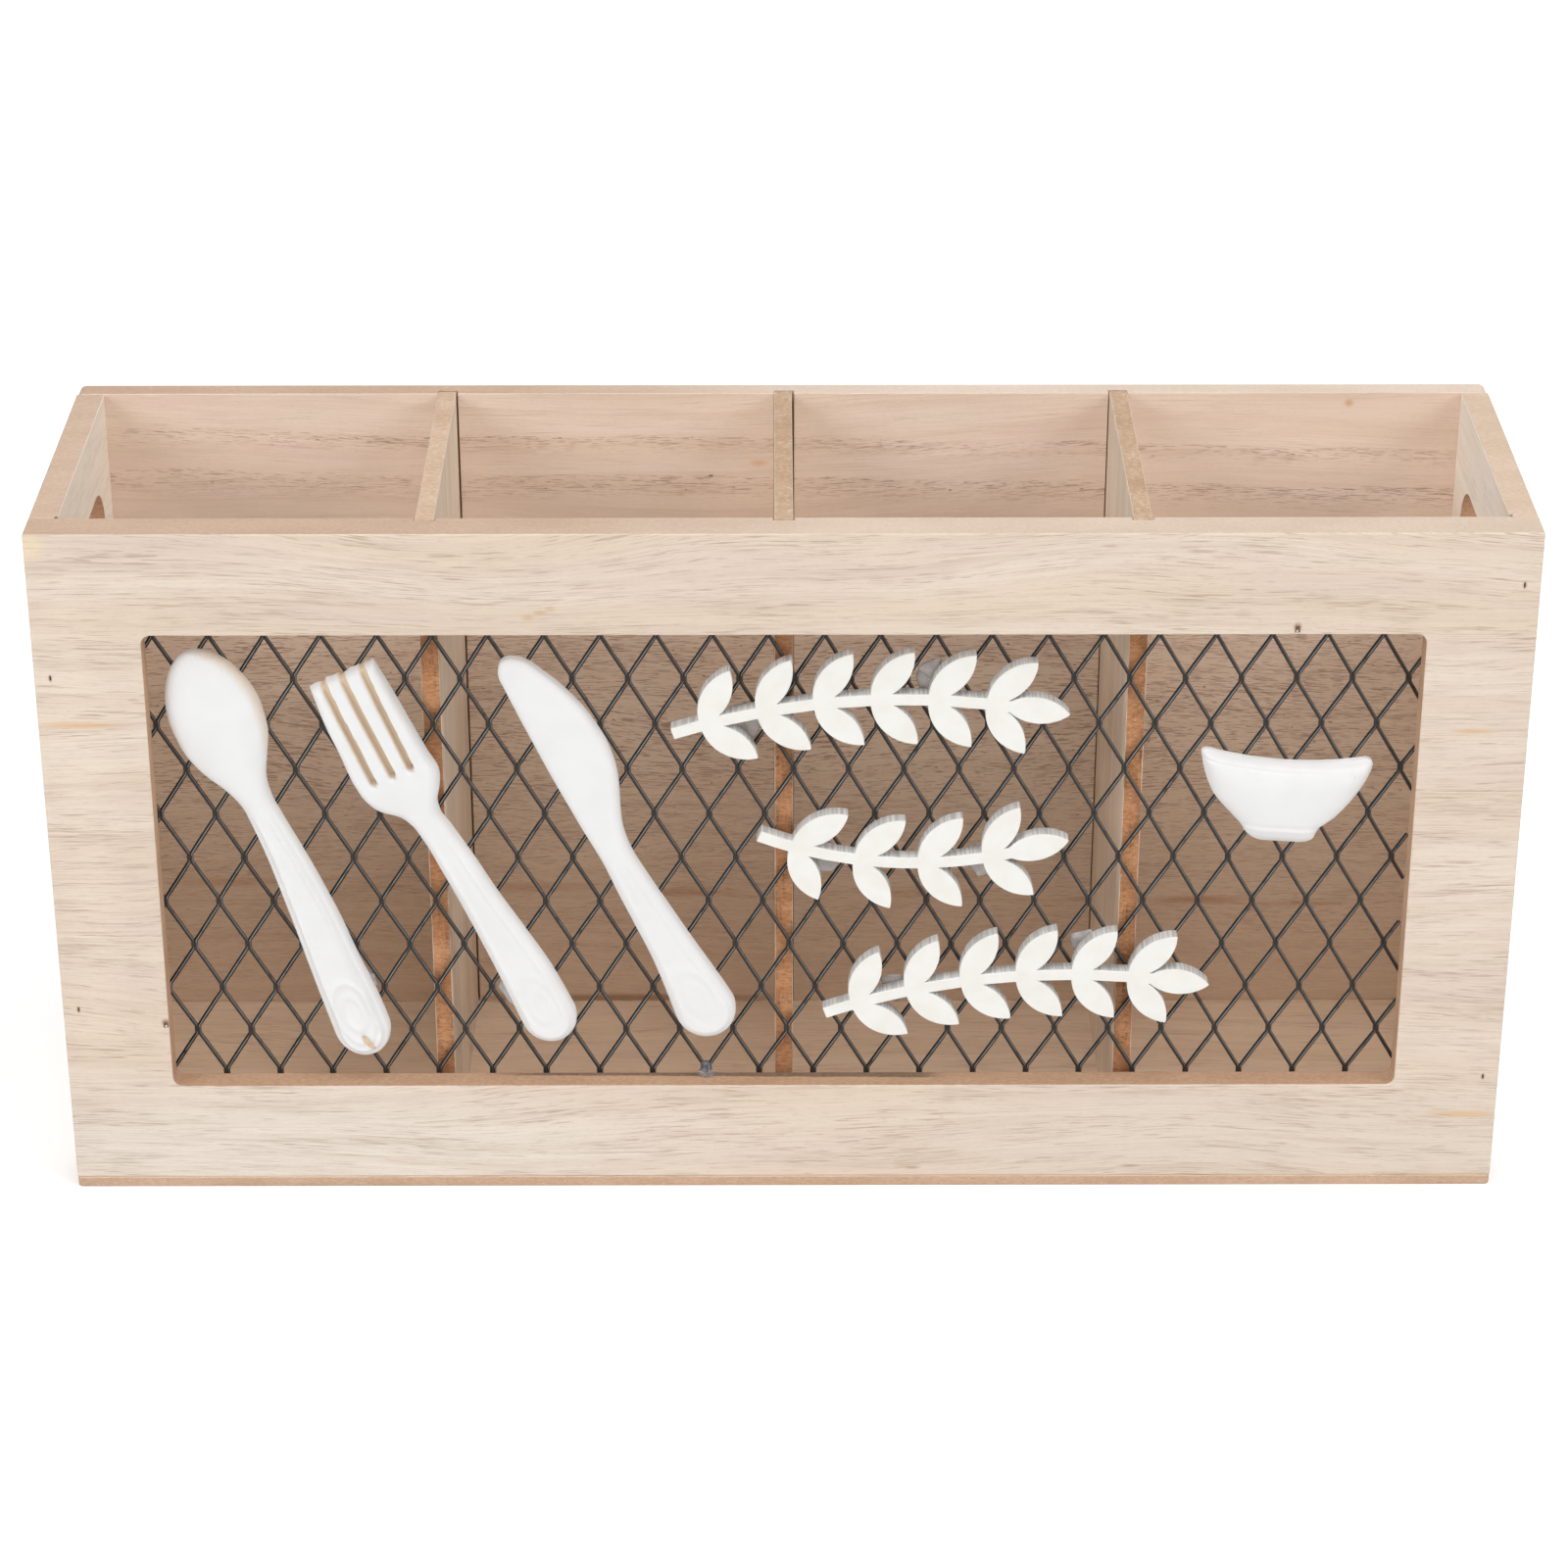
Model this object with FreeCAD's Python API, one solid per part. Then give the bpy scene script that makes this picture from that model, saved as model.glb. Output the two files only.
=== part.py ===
import FreeCAD, Part
import math
import os

# Open-topped cutlery holder: a four-compartment box of veneered fibreboard with a meshed
# window in its front. Millimetres, +Z up, front face at -Y, origin at the middle of the
# underside. Every board is glued and pinned, and nothing on the holder moves.

Vector = FreeCAD.Vector
ACROSS = Vector(1, 0, 0)
INWARD = Vector(0, 1, 0)
UPWARD = Vector(0, 0, 1)

# Carcase boards
WIDTH = 360.0               # over the front and back panels, which cover the end panels
DEPTH = 96.0                # front face to back face
HEIGHT = 181.0              # underside to the top edges
FRONT_THICK = 10.0
BACK_THICK = 6.0
END_THICK = 7.0
BOTTOM_THICK = 3.0

# Window in the front panel, with a rebate behind it that the mesh lies in
WINDOW_SIDE_RAIL = 26.2     # wood beside the window
WINDOW_TOP_RAIL = 26.4      # wood above it
WINDOW_LOW_RAIL = 26.7      # wood below it, down to the bottom board
WINDOW_RADIUS = 2.4
REBATE_DEPTH = 3.3
REBATE_WIDTH = 5.0          # how far the rebate reaches past the window
REBATE_RADIUS = 3.0

# Dividers, let into open-topped grooves in the front and back panels
DIVIDER_THICK = 4.5
DIVIDER_PITCH = 85.6
BACK_GROOVE_DEPTH = 1.6
GROOVE_CLEARANCE = 0.15     # each side of a divider and at its ends
DIVIDER_MESH_GAP = 0.4      # divider edge to the back of the mesh

# Hand hole through each end panel, a slot with round ends
HAND_HOLE_LENGTH = 60.0
HAND_HOLE_HEIGHT = 24.0
HAND_HOLE_TOP_RAIL = 19.0   # wood above the hole

# Expanded steel mesh
MESH_THICK = 1.4
MESH_PITCH_ACROSS = 13.5
MESH_PITCH_UP = 24.4
STRAND_WIDTH = 1.4
BOND_LENGTH = 3.4           # where two strands stay joined
BOND_WIDTH = 2.0
MESH_LEAN = 0.25            # sideways step of each row of bonds
MESH_SHIFT = -6.2           # bond nearest the middle, on the row at the sill
MESH_ROW_RISE = 0.3         # lowest row of bonds above the sill
MESH_CLEARANCE = 1.0        # mesh edge to the wall of the rebate
MESH_EDGE = 1.2
SMALLEST_GAP = 3.0          # square millimetres

# Staples that hold the mesh in its rebate, each astride a strand or a bond
STAPLE_CROWN = 9.8          # between the middles of the legs
STAPLE_WIRE = 0.7
STAPLE_LEG = 6.0
STAPLE_INSET = 1.0          # legs from the edge of the window
STAPLE_CLEARANCE = 0.05
STAPLES_ACROSS = 4          # along the top and along the sill
LEFT_STAPLE_GAPS = (22.2, 27.0)     # middle of the lower one to the sill, of the upper to the top
RIGHT_STAPLE_GAPS = (18.6, 20.9)

# Brads through the panels and the bottom board
BRAD_DIAMETER = 1.2
BRAD_LENGTH = 18.0
BRAD_HEAD_DIAMETER = 2.0
BRAD_HEAD_THICK = 0.8
BRAD_SET = 0.3              # heads punched below the surface
BRAD_CLEARANCE = 0.05
LEFT_BRAD_GAPS = (52.0, 37.5)       # lower one to the underside, upper one to the top edge
RIGHT_BRAD_GAPS = (32.0, 13.5)
BACK_BRAD_GAPS = (40.0, 31.0)
BOTTOM_BRAD_SPACING = 125.0

# Cast reliefs with flat backs, glued to the mesh. Across gives the lower end and the tip, as
# shares of the window's width from its left side. Gaps are from the lower end to the sill and
# from the tip to the top of the window. A station is the distance along the piece, the left
# and right edges there, and the rise of the crown; the stations stretch to reach the tip.
RELIEF_EDGE_SHARE = 0.4     # upright edge below the crown, as a share of the rise
SPOON_ACROSS = (0.1564, 0.0381)
SPOON_GAPS = (6.0, 6.2)
SPOON_STATIONS = (
    (0.0, 0.4, 3.8, 2.4),
    (3.0, -3.9, 7.0, 3.4),
    (9.0, -4.9, 9.3, 4.0),
    (28.0, -4.3, 8.3, 4.0),
    (52.0, -3.4, 6.5, 4.0),
    (71.0, -3.5, 4.2, 4.2),
    (81.0, -6.4, 4.3, 4.6),
    (91.0, -11.8, 8.8, 5.4),
    (101.0, -12.6, 9.6, 5.6),
    (110.5, -10.3, 7.0, 4.8),
    (116.0, -6.4, 3.2, 3.6),
    (118.4, -1.8, 1.6, 2.4),
)
FORK_ACROSS = (0.3082, 0.1527)
FORK_GAPS = (9.3, 12.1)
FORK_STATIONS = (
    (0.0, 0.2, 5.0, 2.4),
    (3.2, -2.9, 9.0, 3.4),
    (9.0, -3.5, 10.4, 4.0),
    (22.0, -2.8, 9.9, 4.0),
    (45.0, -2.3, 7.3, 4.0),
    (63.0, -2.6, 5.4, 4.0),
    (71.0, -3.6, 4.7, 4.2),
    (76.0, -8.0, 7.2, 4.4),
    (82.0, -10.7, 9.4, 4.5),
    (97.0, -10.4, 8.8, 4.4),
    (114.0, -8.9, 8.4, 4.0),
)
TINE_SLOTS = (-5.5, -0.4, 4.7)
TINE_SLOT_WIDTH = 1.7
TINE_SLOT_LENGTH = 29.8
TINE_SLOT_FLOOR = 2.2       # resin left under a slot
KNIFE_ACROSS = (0.4389, 0.2752)
KNIFE_GAPS = (11.2, 9.5)
KNIFE_STATIONS = (
    (-0.4, 0.6, 5.0, 2.4),
    (3.0, -3.8, 8.6, 3.4),
    (9.0, -4.7, 10.5, 4.0),
    (20.0, -3.2, 9.2, 4.0),
    (38.0, -2.3, 7.4, 4.0),
    (54.0, -1.8, 6.3, 4.0),
    (64.0, -1.9, 7.8, 3.9),
    (75.0, -2.1, 12.2, 3.8),
    (87.0, -2.1, 14.1, 3.7),
    (99.0, -1.8, 12.2, 3.6),
    (109.0, -1.6, 8.2, 3.2),
    (113.8, -1.4, 4.6, 2.8),
    (115.7, -0.6, 1.8, 2.4),
)
BOWL_PLACE = (0.8953, 0.5332)       # middle of its foot, as shares of the window's width and height
BOWL_LEAN = -4.0
BOWL_STATIONS = (
    (0.0, -7.9, 7.9, 4.0),
    (3.2, -8.7, 8.7, 4.2),
    (4.6, -10.6, 10.6, 4.4),
    (9.5, -15.2, 15.2, 5.2),
    (16.0, -18.9, 18.9, 5.6),
    (23.8, -21.0, 21.0, 5.8),
)
BOWL_RIM_DIP = 2.4          # rim lower in the middle than at its tips

# Flat leaf sprigs cut from sheet. Each has the two ends of its stem, as shares of the window's
# width and height, the side that the stem bows to, and the number of leaf pairs.
SPRIG_THICK = 4.0
STEM_WIDTH = 3.0
STEM_BOW = 5.0
LEAF_LENGTH = 16.5
LEAF_WIDTH = 7.0
LEAF_ANGLE = 48.0
UPPER_SPRIG = {"start": (0.412, 0.779), "end": (0.682, 0.835), "bows": 1, "pairs": 6}
MIDDLE_SPRIG = {"start": (0.480, 0.555), "end": (0.685, 0.519), "bows": -1, "pairs": 4}
LOWER_SPRIG = {"start": (0.533, 0.155), "end": (0.802, 0.231), "bows": 1, "pairs": 6}

# Clear glue: dabs pressed through the mesh behind the ornaments, and one bead on the sill
GLUE_DAB_DIAMETER = 8.0
GLUE_SMEAR_DIAMETER = 13.0
GLUE_SMEAR_THICK = 0.3
GLUE_BEAD_RADIUS = 2.7
GLUE_BEAD_BOND = -1
RELIEF_DABS = (0.16, 0.8)   # shares of the way along a relief
SPRIG_DABS = (0.2, 0.8)     # shares of the way along a stem

# Faces and edges that several pieces share
END_INNER_X = WIDTH / 2 - END_THICK
FRONT_Y = -DEPTH / 2
BACK_Y = DEPTH / 2
FRONT_INNER_Y = FRONT_Y + FRONT_THICK
BACK_INNER_Y = BACK_Y - BACK_THICK
WINDOW_LEFT = -WIDTH / 2 + WINDOW_SIDE_RAIL
WINDOW_RIGHT = WIDTH / 2 - WINDOW_SIDE_RAIL
WINDOW_LOW = BOTTOM_THICK + WINDOW_LOW_RAIL
WINDOW_TOP = HEIGHT - WINDOW_TOP_RAIL
WINDOW_WIDTH = WINDOW_RIGHT - WINDOW_LEFT
WINDOW_HEIGHT = WINDOW_TOP - WINDOW_LOW
MESH_FRONT_Y = FRONT_INNER_Y - REBATE_DEPTH
MESH_BACK_Y = MESH_FRONT_Y + MESH_THICK
MESH_OVERLAP = REBATE_WIDTH - MESH_CLEARANCE
DIVIDER_FRONT_Y = MESH_BACK_Y + DIVIDER_MESH_GAP
DIVIDER_BACK_Y = BACK_INNER_Y + BACK_GROOVE_DEPTH - GROOVE_CLEARANCE
END_CENTRE_X = WIDTH / 2 - END_THICK / 2


def block(x0, x1, y0, y1, z0, z1):
    return Part.makeBox(x1 - x0, y1 - y0, z1 - z0, Vector(x0, y0, z0))


def rounded_block(x0, x1, y0, y1, z0, z1, radius):
    """A block whose four edges along Y are rounded."""
    slab = block(x0, x1, y0, y1, z0, z1)
    corners = [e for e in slab.Edges if abs(e.tangentAt(e.FirstParameter).y) > 0.9]
    return slab.makeFillet(radius, corners)


def polygon(points):
    return Part.makePolygon(list(points) + [points[0]])


# Places of the mesh bonds, the staples and the brads

def bond(row, column):
    """Middle of a bond, as X and Z. A column counts pitches from the middle of the window."""
    stagger = MESH_PITCH_ACROSS / 2 * (row % 2)
    x = MESH_SHIFT + column * MESH_PITCH_ACROSS + stagger + row * MESH_LEAN
    z = WINDOW_LOW + MESH_ROW_RISE + row * MESH_PITCH_UP / 2
    return x, z


def gap_centre(row, column):
    x, z = bond(row, column)
    return x + MESH_PITCH_ACROSS / 2, z


def nearest_gap(x, z):
    """Middle of the mesh gap that lies nearest to a point."""
    row_nearest = round((z - bond(0, 0)[1]) / (MESH_PITCH_UP / 2))
    candidates = []
    for row in (row_nearest - 1, row_nearest, row_nearest + 1):
        column = round((x - gap_centre(row, 0)[0]) / MESH_PITCH_ACROSS)
        candidates.append(gap_centre(row, column))
    return min(candidates, key=lambda c: math.hypot(c[0] - x, c[1] - z))


def staple_seats():
    """Middle of each staple and the direction of its crown."""
    seats = []
    top_row = round((WINDOW_TOP - bond(0, 0)[1]) / (MESH_PITCH_UP / 2))
    for row, z in ((top_row, WINDOW_TOP + STAPLE_INSET), (0, WINDOW_LOW - STAPLE_INSET)):
        for index in range(STAPLES_ACROSS):
            x = WINDOW_LEFT + WINDOW_WIDTH * (index + 0.5) / STAPLES_ACROSS
            column = round((x - bond(row, 0)[0]) / MESH_PITCH_ACROSS)
            seats.append((bond(row, column)[0], z, ACROSS))
    left_x, right_x = WINDOW_LEFT - STAPLE_INSET, WINDOW_RIGHT + STAPLE_INSET
    for x, gaps in ((left_x, LEFT_STAPLE_GAPS), (right_x, RIGHT_STAPLE_GAPS)):
        seats.append((x, WINDOW_LOW + gaps[0], UPWARD))
        seats.append((x, WINDOW_TOP - gaps[1], UPWARD))
    return seats


def staple_legs(allowance):
    half = STAPLE_WIRE / 2 + allowance
    tip_y = MESH_BACK_Y - STAPLE_LEG - allowance
    legs = []
    for x, z, along in staple_seats():
        for side in (-1, 1):
            middle = Vector(x, 0, z) + along * (side * STAPLE_CROWN / 2)
            legs.append(block(middle.x - half, middle.x + half, tip_y, MESH_BACK_Y,
                              middle.z - half, middle.z + half))
    return legs


def brad(point, direction, allowance):
    """A headed pin driven from the face at point, along direction."""
    head_start = point + direction * BRAD_SET
    if allowance:
        head_start = point
    head_length = (point + direction * (BRAD_SET + BRAD_HEAD_THICK) - head_start).Length
    head = Part.makeCylinder(BRAD_HEAD_DIAMETER / 2 + allowance, head_length, head_start, direction)
    shank_start = point + direction * BRAD_SET
    shank = Part.makeCylinder(BRAD_DIAMETER / 2 + allowance, BRAD_LENGTH + allowance,
                              shank_start, direction)
    return head.fuse(shank).removeSplitter()


def end_brads(side, face_y, direction, gaps, allowance):
    """The lower and upper brad through a panel's face into one end panel."""
    heights = (gaps[0], HEIGHT - gaps[1])
    return [brad(Vector(side * END_CENTRE_X, face_y, z), direction, allowance) for z in heights]


def front_brads(allowance=0.0):
    return (end_brads(-1, FRONT_Y, INWARD, LEFT_BRAD_GAPS, allowance)
            + end_brads(1, FRONT_Y, INWARD, RIGHT_BRAD_GAPS, allowance))


def back_brads(allowance=0.0):
    return (end_brads(-1, BACK_Y, -INWARD, BACK_BRAD_GAPS, allowance)
            + end_brads(1, BACK_Y, -INWARD, BACK_BRAD_GAPS, allowance))


def bottom_brads(allowance=0.0):
    places = [Vector(side * END_CENTRE_X, 0, 0) for side in (-1, 1)]
    for y in (FRONT_Y + FRONT_THICK / 2, BACK_Y - BACK_THICK / 2):
        for step in (-1, 0, 1):
            places.append(Vector(step * BOTTOM_BRAD_SPACING, y, 0))
    return [brad(place, UPWARD, allowance) for place in places]


# Boards

def divider_grooves(y0, y1):
    half = DIVIDER_THICK / 2 + GROOVE_CLEARANCE
    grooves = []
    for step in (-1, 0, 1):
        x = step * DIVIDER_PITCH
        grooves.append(block(x - half, x + half, y0, y1, BOTTOM_THICK, HEIGHT))
    return grooves


def front_panel():
    board = block(-WIDTH / 2, WIDTH / 2, FRONT_Y, FRONT_INNER_Y, BOTTOM_THICK, HEIGHT)
    window = rounded_block(WINDOW_LEFT, WINDOW_RIGHT, FRONT_Y, FRONT_INNER_Y,
                           WINDOW_LOW, WINDOW_TOP, WINDOW_RADIUS)
    rebate = rounded_block(WINDOW_LEFT - REBATE_WIDTH, WINDOW_RIGHT + REBATE_WIDTH,
                           MESH_FRONT_Y, FRONT_INNER_Y,
                           WINDOW_LOW - REBATE_WIDTH, WINDOW_TOP + REBATE_WIDTH, REBATE_RADIUS)
    grooves = divider_grooves(DIVIDER_FRONT_Y - GROOVE_CLEARANCE, FRONT_INNER_Y)
    pins = front_brads(BRAD_CLEARANCE) + bottom_brads(BRAD_CLEARANCE)
    return board.cut([window, rebate] + grooves + staple_legs(STAPLE_CLEARANCE) + pins)


def back_panel():
    board = block(-WIDTH / 2, WIDTH / 2, BACK_INNER_Y, BACK_Y, BOTTOM_THICK, HEIGHT)
    grooves = divider_grooves(BACK_INNER_Y, BACK_INNER_Y + BACK_GROOVE_DEPTH)
    return board.cut(grooves + back_brads(BRAD_CLEARANCE) + bottom_brads(BRAD_CLEARANCE))


def end_panel(side):
    """An end panel between the front and back panels, with a slotted hand hole."""
    x0, x1 = sorted((side * END_INNER_X, side * WIDTH / 2))
    board = block(x0, x1, FRONT_INNER_Y, BACK_INNER_Y, BOTTOM_THICK, HEIGHT)
    middle_y = (FRONT_Y + BACK_Y) / 2
    radius = HAND_HOLE_HEIGHT / 2
    middle_z = HEIGHT - HAND_HOLE_TOP_RAIL - radius
    reach = HAND_HOLE_LENGTH / 2 - radius
    slot = [block(x0, x1, middle_y - reach, middle_y + reach, middle_z - radius, middle_z + radius)]
    for y in (middle_y - reach, middle_y + reach):
        slot.append(Part.makeCylinder(radius, END_THICK, Vector(x0, y, middle_z), ACROSS))
    pins = front_brads(BRAD_CLEARANCE) + back_brads(BRAD_CLEARANCE) + bottom_brads(BRAD_CLEARANCE)
    return board.cut(slot + pins)


def bottom_panel():
    board = block(-WIDTH / 2, WIDTH / 2, FRONT_Y, BACK_Y, 0, BOTTOM_THICK)
    return board.cut(bottom_brads(BRAD_CLEARANCE))


def divider(step):
    x = step * DIVIDER_PITCH
    return block(x - DIVIDER_THICK / 2, x + DIVIDER_THICK / 2, DIVIDER_FRONT_Y, DIVIDER_BACK_Y,
                 BOTTOM_THICK, HEIGHT)


# Mesh and its staples

def gap_outline(row, column):
    """Six corners of a mesh gap: points above and below, short upright sides at the bonds."""
    x, z = gap_centre(row, column)
    run = MESH_PITCH_ACROSS / 2
    rise = MESH_PITCH_UP / 2 - BOND_LENGTH
    slope = rise / run
    tip = MESH_PITCH_UP / 2 - BOND_LENGTH / 2 - STRAND_WIDTH / 2 * math.hypot(run, rise) / run
    side = run - BOND_WIDTH / 2
    shoulder = tip - side * slope
    lean = MESH_LEAN
    return [(x + lean, z + tip), (x + side, z + shoulder), (x + side, z - shoulder),
            (x - lean, z - tip), (x - side, z - shoulder), (x - side, z + shoulder)]


def clip(outline, axis, limit, keep):
    """The part of an outline on one side of a limit: keep is 1 for above it, -1 for below."""
    kept = []
    for start, end in zip(outline, outline[1:] + outline[:1]):
        start_in = (start[axis] - limit) * keep >= 0
        end_in = (end[axis] - limit) * keep >= 0
        if start_in:
            kept.append(start)
        if start_in != end_in:
            share = (limit - start[axis]) / (end[axis] - start[axis])
            kept.append(tuple(a + (b - a) * share for a, b in zip(start, end)))
    return kept


def outline_area(outline):
    pairs = zip(outline, outline[1:] + outline[:1])
    return abs(sum(a[0] * b[1] - b[0] * a[1] for a, b in pairs)) / 2


def mesh_gaps(left, right, low, top):
    rows = int((top - low) / (MESH_PITCH_UP / 2)) + 2
    columns = int((right - left) / MESH_PITCH_ACROSS / 2) + 2
    gaps = []
    for row in range(-1, rows):
        for column in range(-columns, columns):
            outline = gap_outline(row, column)
            for axis, limit, keep in ((0, left, 1), (0, right, -1), (1, low, 1), (1, top, -1)):
                outline = clip(outline, axis, limit, keep) if outline else outline
            if len(outline) > 2 and outline_area(outline) > SMALLEST_GAP:
                gaps.append(outline)
    return gaps


def wire_mesh():
    left, right = WINDOW_LEFT - MESH_OVERLAP, WINDOW_RIGHT + MESH_OVERLAP
    low, top = WINDOW_LOW - MESH_OVERLAP, WINDOW_TOP + MESH_OVERLAP
    rim = polygon([Vector(x, MESH_FRONT_Y, z)
                   for x, z in ((left, low), (right, low), (right, top), (left, top))])
    gaps = mesh_gaps(left + MESH_EDGE, right - MESH_EDGE, low + MESH_EDGE, top - MESH_EDGE)
    holes = [polygon([Vector(x, MESH_FRONT_Y, z) for x, z in gap]) for gap in gaps]
    net = Part.Face([rim] + holes)
    net.validate()
    print("mesh gaps", len(gaps))
    return net.extrude(INWARD * MESH_THICK).cut(staple_legs(STAPLE_CLEARANCE))


def mesh_staples():
    legs = staple_legs(0.0)
    staples = []
    for index, (x, z, along) in enumerate(staple_seats()):
        reach = STAPLE_CROWN / 2 + STAPLE_WIRE / 2
        half = Vector(STAPLE_WIRE / 2, 0, STAPLE_WIRE / 2)
        half = half + along * (reach - STAPLE_WIRE / 2)
        crown = block(x - half.x, x + half.x, MESH_BACK_Y, MESH_BACK_Y + STAPLE_WIRE,
                      z - half.z, z + half.z)
        pair = legs[2 * index:2 * index + 2]
        staples.append(crown.fuse(pair).removeSplitter())
    return staples


# Cast reliefs

def relief_section(along, left, right, rise):
    """A flat back, upright edges and a crowned face."""
    edge = rise * RELIEF_EDGE_SHARE
    back_left, back_right = Vector(left, 0, along), Vector(right, 0, along)
    edge_left, edge_right = Vector(left, -edge, along), Vector(right, -edge, along)
    crown = Vector((left + right) / 2, -rise, along)
    return Part.Wire([Part.LineSegment(back_right, back_left).toShape(),
                      Part.LineSegment(back_left, edge_left).toShape(),
                      Part.Arc(edge_left, crown, edge_right).toShape(),
                      Part.LineSegment(edge_right, back_right).toShape()])


def window_place(across, up):
    """A point on the front of the mesh, from shares of the window's width and height."""
    return Vector(WINDOW_LEFT + WINDOW_WIDTH * across, MESH_FRONT_Y, WINDOW_LOW + WINDOW_HEIGHT * up)


def relief_axis(across, gaps):
    """The lower end of a relief, its length and its lean to the left of upright."""
    foot = window_place(across[0], 0) + UPWARD * gaps[0]
    tip = window_place(across[1], 1) - UPWARD * gaps[1]
    lean = math.degrees(math.atan2(foot.x - tip.x, tip.z - foot.z))
    return foot, (tip - foot).Length, lean


def stretched(stations, length):
    stretch = length / stations[-1][0]
    return [(station[0] * stretch,) + station[1:] for station in stations]


def cast_relief(stations):
    sections = [relief_section(*station) for station in stations]
    return Part.makeLoft(sections, True, True)


def seated_on_mesh(shape, foot, lean):
    """Turn a relief from upright to its lean, with its lower end at foot."""
    shape.rotate(Vector(0, 0, 0), INWARD, -lean)
    shape.translate(foot)
    return shape


def spoon():
    foot, length, lean = relief_axis(SPOON_ACROSS, SPOON_GAPS)
    return seated_on_mesh(cast_relief(stretched(SPOON_STATIONS, length)), foot, lean)


def fork():
    foot, length, lean = relief_axis(FORK_ACROSS, FORK_GAPS)
    body = cast_relief(stretched(FORK_STATIONS, length))
    deepest = max(station[3] for station in FORK_STATIONS)
    slots = []
    for middle in TINE_SLOTS:
        slots.append(block(middle - TINE_SLOT_WIDTH / 2, middle + TINE_SLOT_WIDTH / 2,
                           -deepest, -TINE_SLOT_FLOOR, length - TINE_SLOT_LENGTH, length))
    return seated_on_mesh(body.cut(slots), foot, lean)


def knife():
    foot, length, lean = relief_axis(KNIFE_ACROSS, KNIFE_GAPS)
    return seated_on_mesh(cast_relief(stretched(KNIFE_STATIONS, length)), foot, lean)


def bowl():
    body = cast_relief(BOWL_STATIONS)
    height, left, right, rise = BOWL_STATIONS[-1]
    radius = (right ** 2 + BOWL_RIM_DIP ** 2) / (2 * BOWL_RIM_DIP)
    centre = Vector(0, -rise, height - BOWL_RIM_DIP + radius)
    hollow = Part.makeCylinder(radius, rise, centre, INWARD)
    return seated_on_mesh(body.cut(hollow), window_place(*BOWL_PLACE), BOWL_LEAN)


# Leaf sprigs

def stem_point(sprig, share):
    """A point on the stem and the stem's heading there, from its lower end to its tip."""
    start = window_place(*sprig["start"])
    chord = window_place(*sprig["end"]) - start
    sideways = Vector(-chord.z, 0, chord.x).normalize()
    bow = sideways * (4 * STEM_BOW * sprig["bows"])
    point = start + chord * share + bow * (share * (1 - share))
    heading = (chord + bow * (1 - 2 * share)).normalize()
    return point, heading


def leaf(base, heading, length, width):
    sideways = Vector(-heading.z, 0, heading.x)
    tip = base + heading * length
    belly = base + heading * (length / 2)
    edges = [Part.Arc(base, belly + sideways * (width / 2), tip).toShape(),
             Part.Arc(tip, belly - sideways * (width / 2), base).toShape()]
    return Part.Face(Part.Wire(edges)).extrude(-INWARD * SPRIG_THICK)


def stem(sprig):
    edges = []
    corners = []
    for side in (-1, 1):
        points = []
        for share in (0.0, 0.5, 1.0):
            point, heading = stem_point(sprig, share)
            points.append(point + Vector(-heading.z, 0, heading.x) * (side * STEM_WIDTH / 2))
        edges.append(Part.Arc(*points).toShape())
        corners.append(points)
    edges.append(Part.LineSegment(corners[0][0], corners[1][0]).toShape())
    edges.append(Part.LineSegment(corners[0][2], corners[1][2]).toShape())
    wire = Part.Wire(Part.__sortEdges__(edges))
    return Part.Face(wire).extrude(-INWARD * SPRIG_THICK)


def leaf_sprig(sprig):
    """A stem with a leaf at its tip and pairs of leaves along it."""
    pairs = sprig["pairs"]
    tip, tip_heading = stem_point(sprig, 1.0)
    leaves = [leaf(tip - tip_heading * STEM_WIDTH, tip_heading, LEAF_LENGTH, LEAF_WIDTH)]
    for index in range(pairs):
        point, heading = stem_point(sprig, (index + 0.5) / pairs)
        for turn in (-LEAF_ANGLE, LEAF_ANGLE):
            leaf_heading = FreeCAD.Rotation(INWARD, turn).multVec(heading)
            leaves.append(leaf(point, leaf_heading, LEAF_LENGTH, LEAF_WIDTH))
    return stem(sprig).fuse(leaves).removeSplitter()


# Glue

def behind_relief(across, gaps, stations, share):
    """The point on the mesh behind the middle of a relief, a share of the way along it."""
    foot, length, lean = relief_axis(across, gaps)
    distance = length * share
    nearest = min(stretched(stations, length), key=lambda station: abs(station[0] - distance))
    middle = (nearest[1] + nearest[2]) / 2
    turn = math.radians(lean)
    x = foot.x + middle * math.cos(turn) - distance * math.sin(turn)
    z = foot.z + middle * math.sin(turn) + distance * math.cos(turn)
    return x, z


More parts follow.
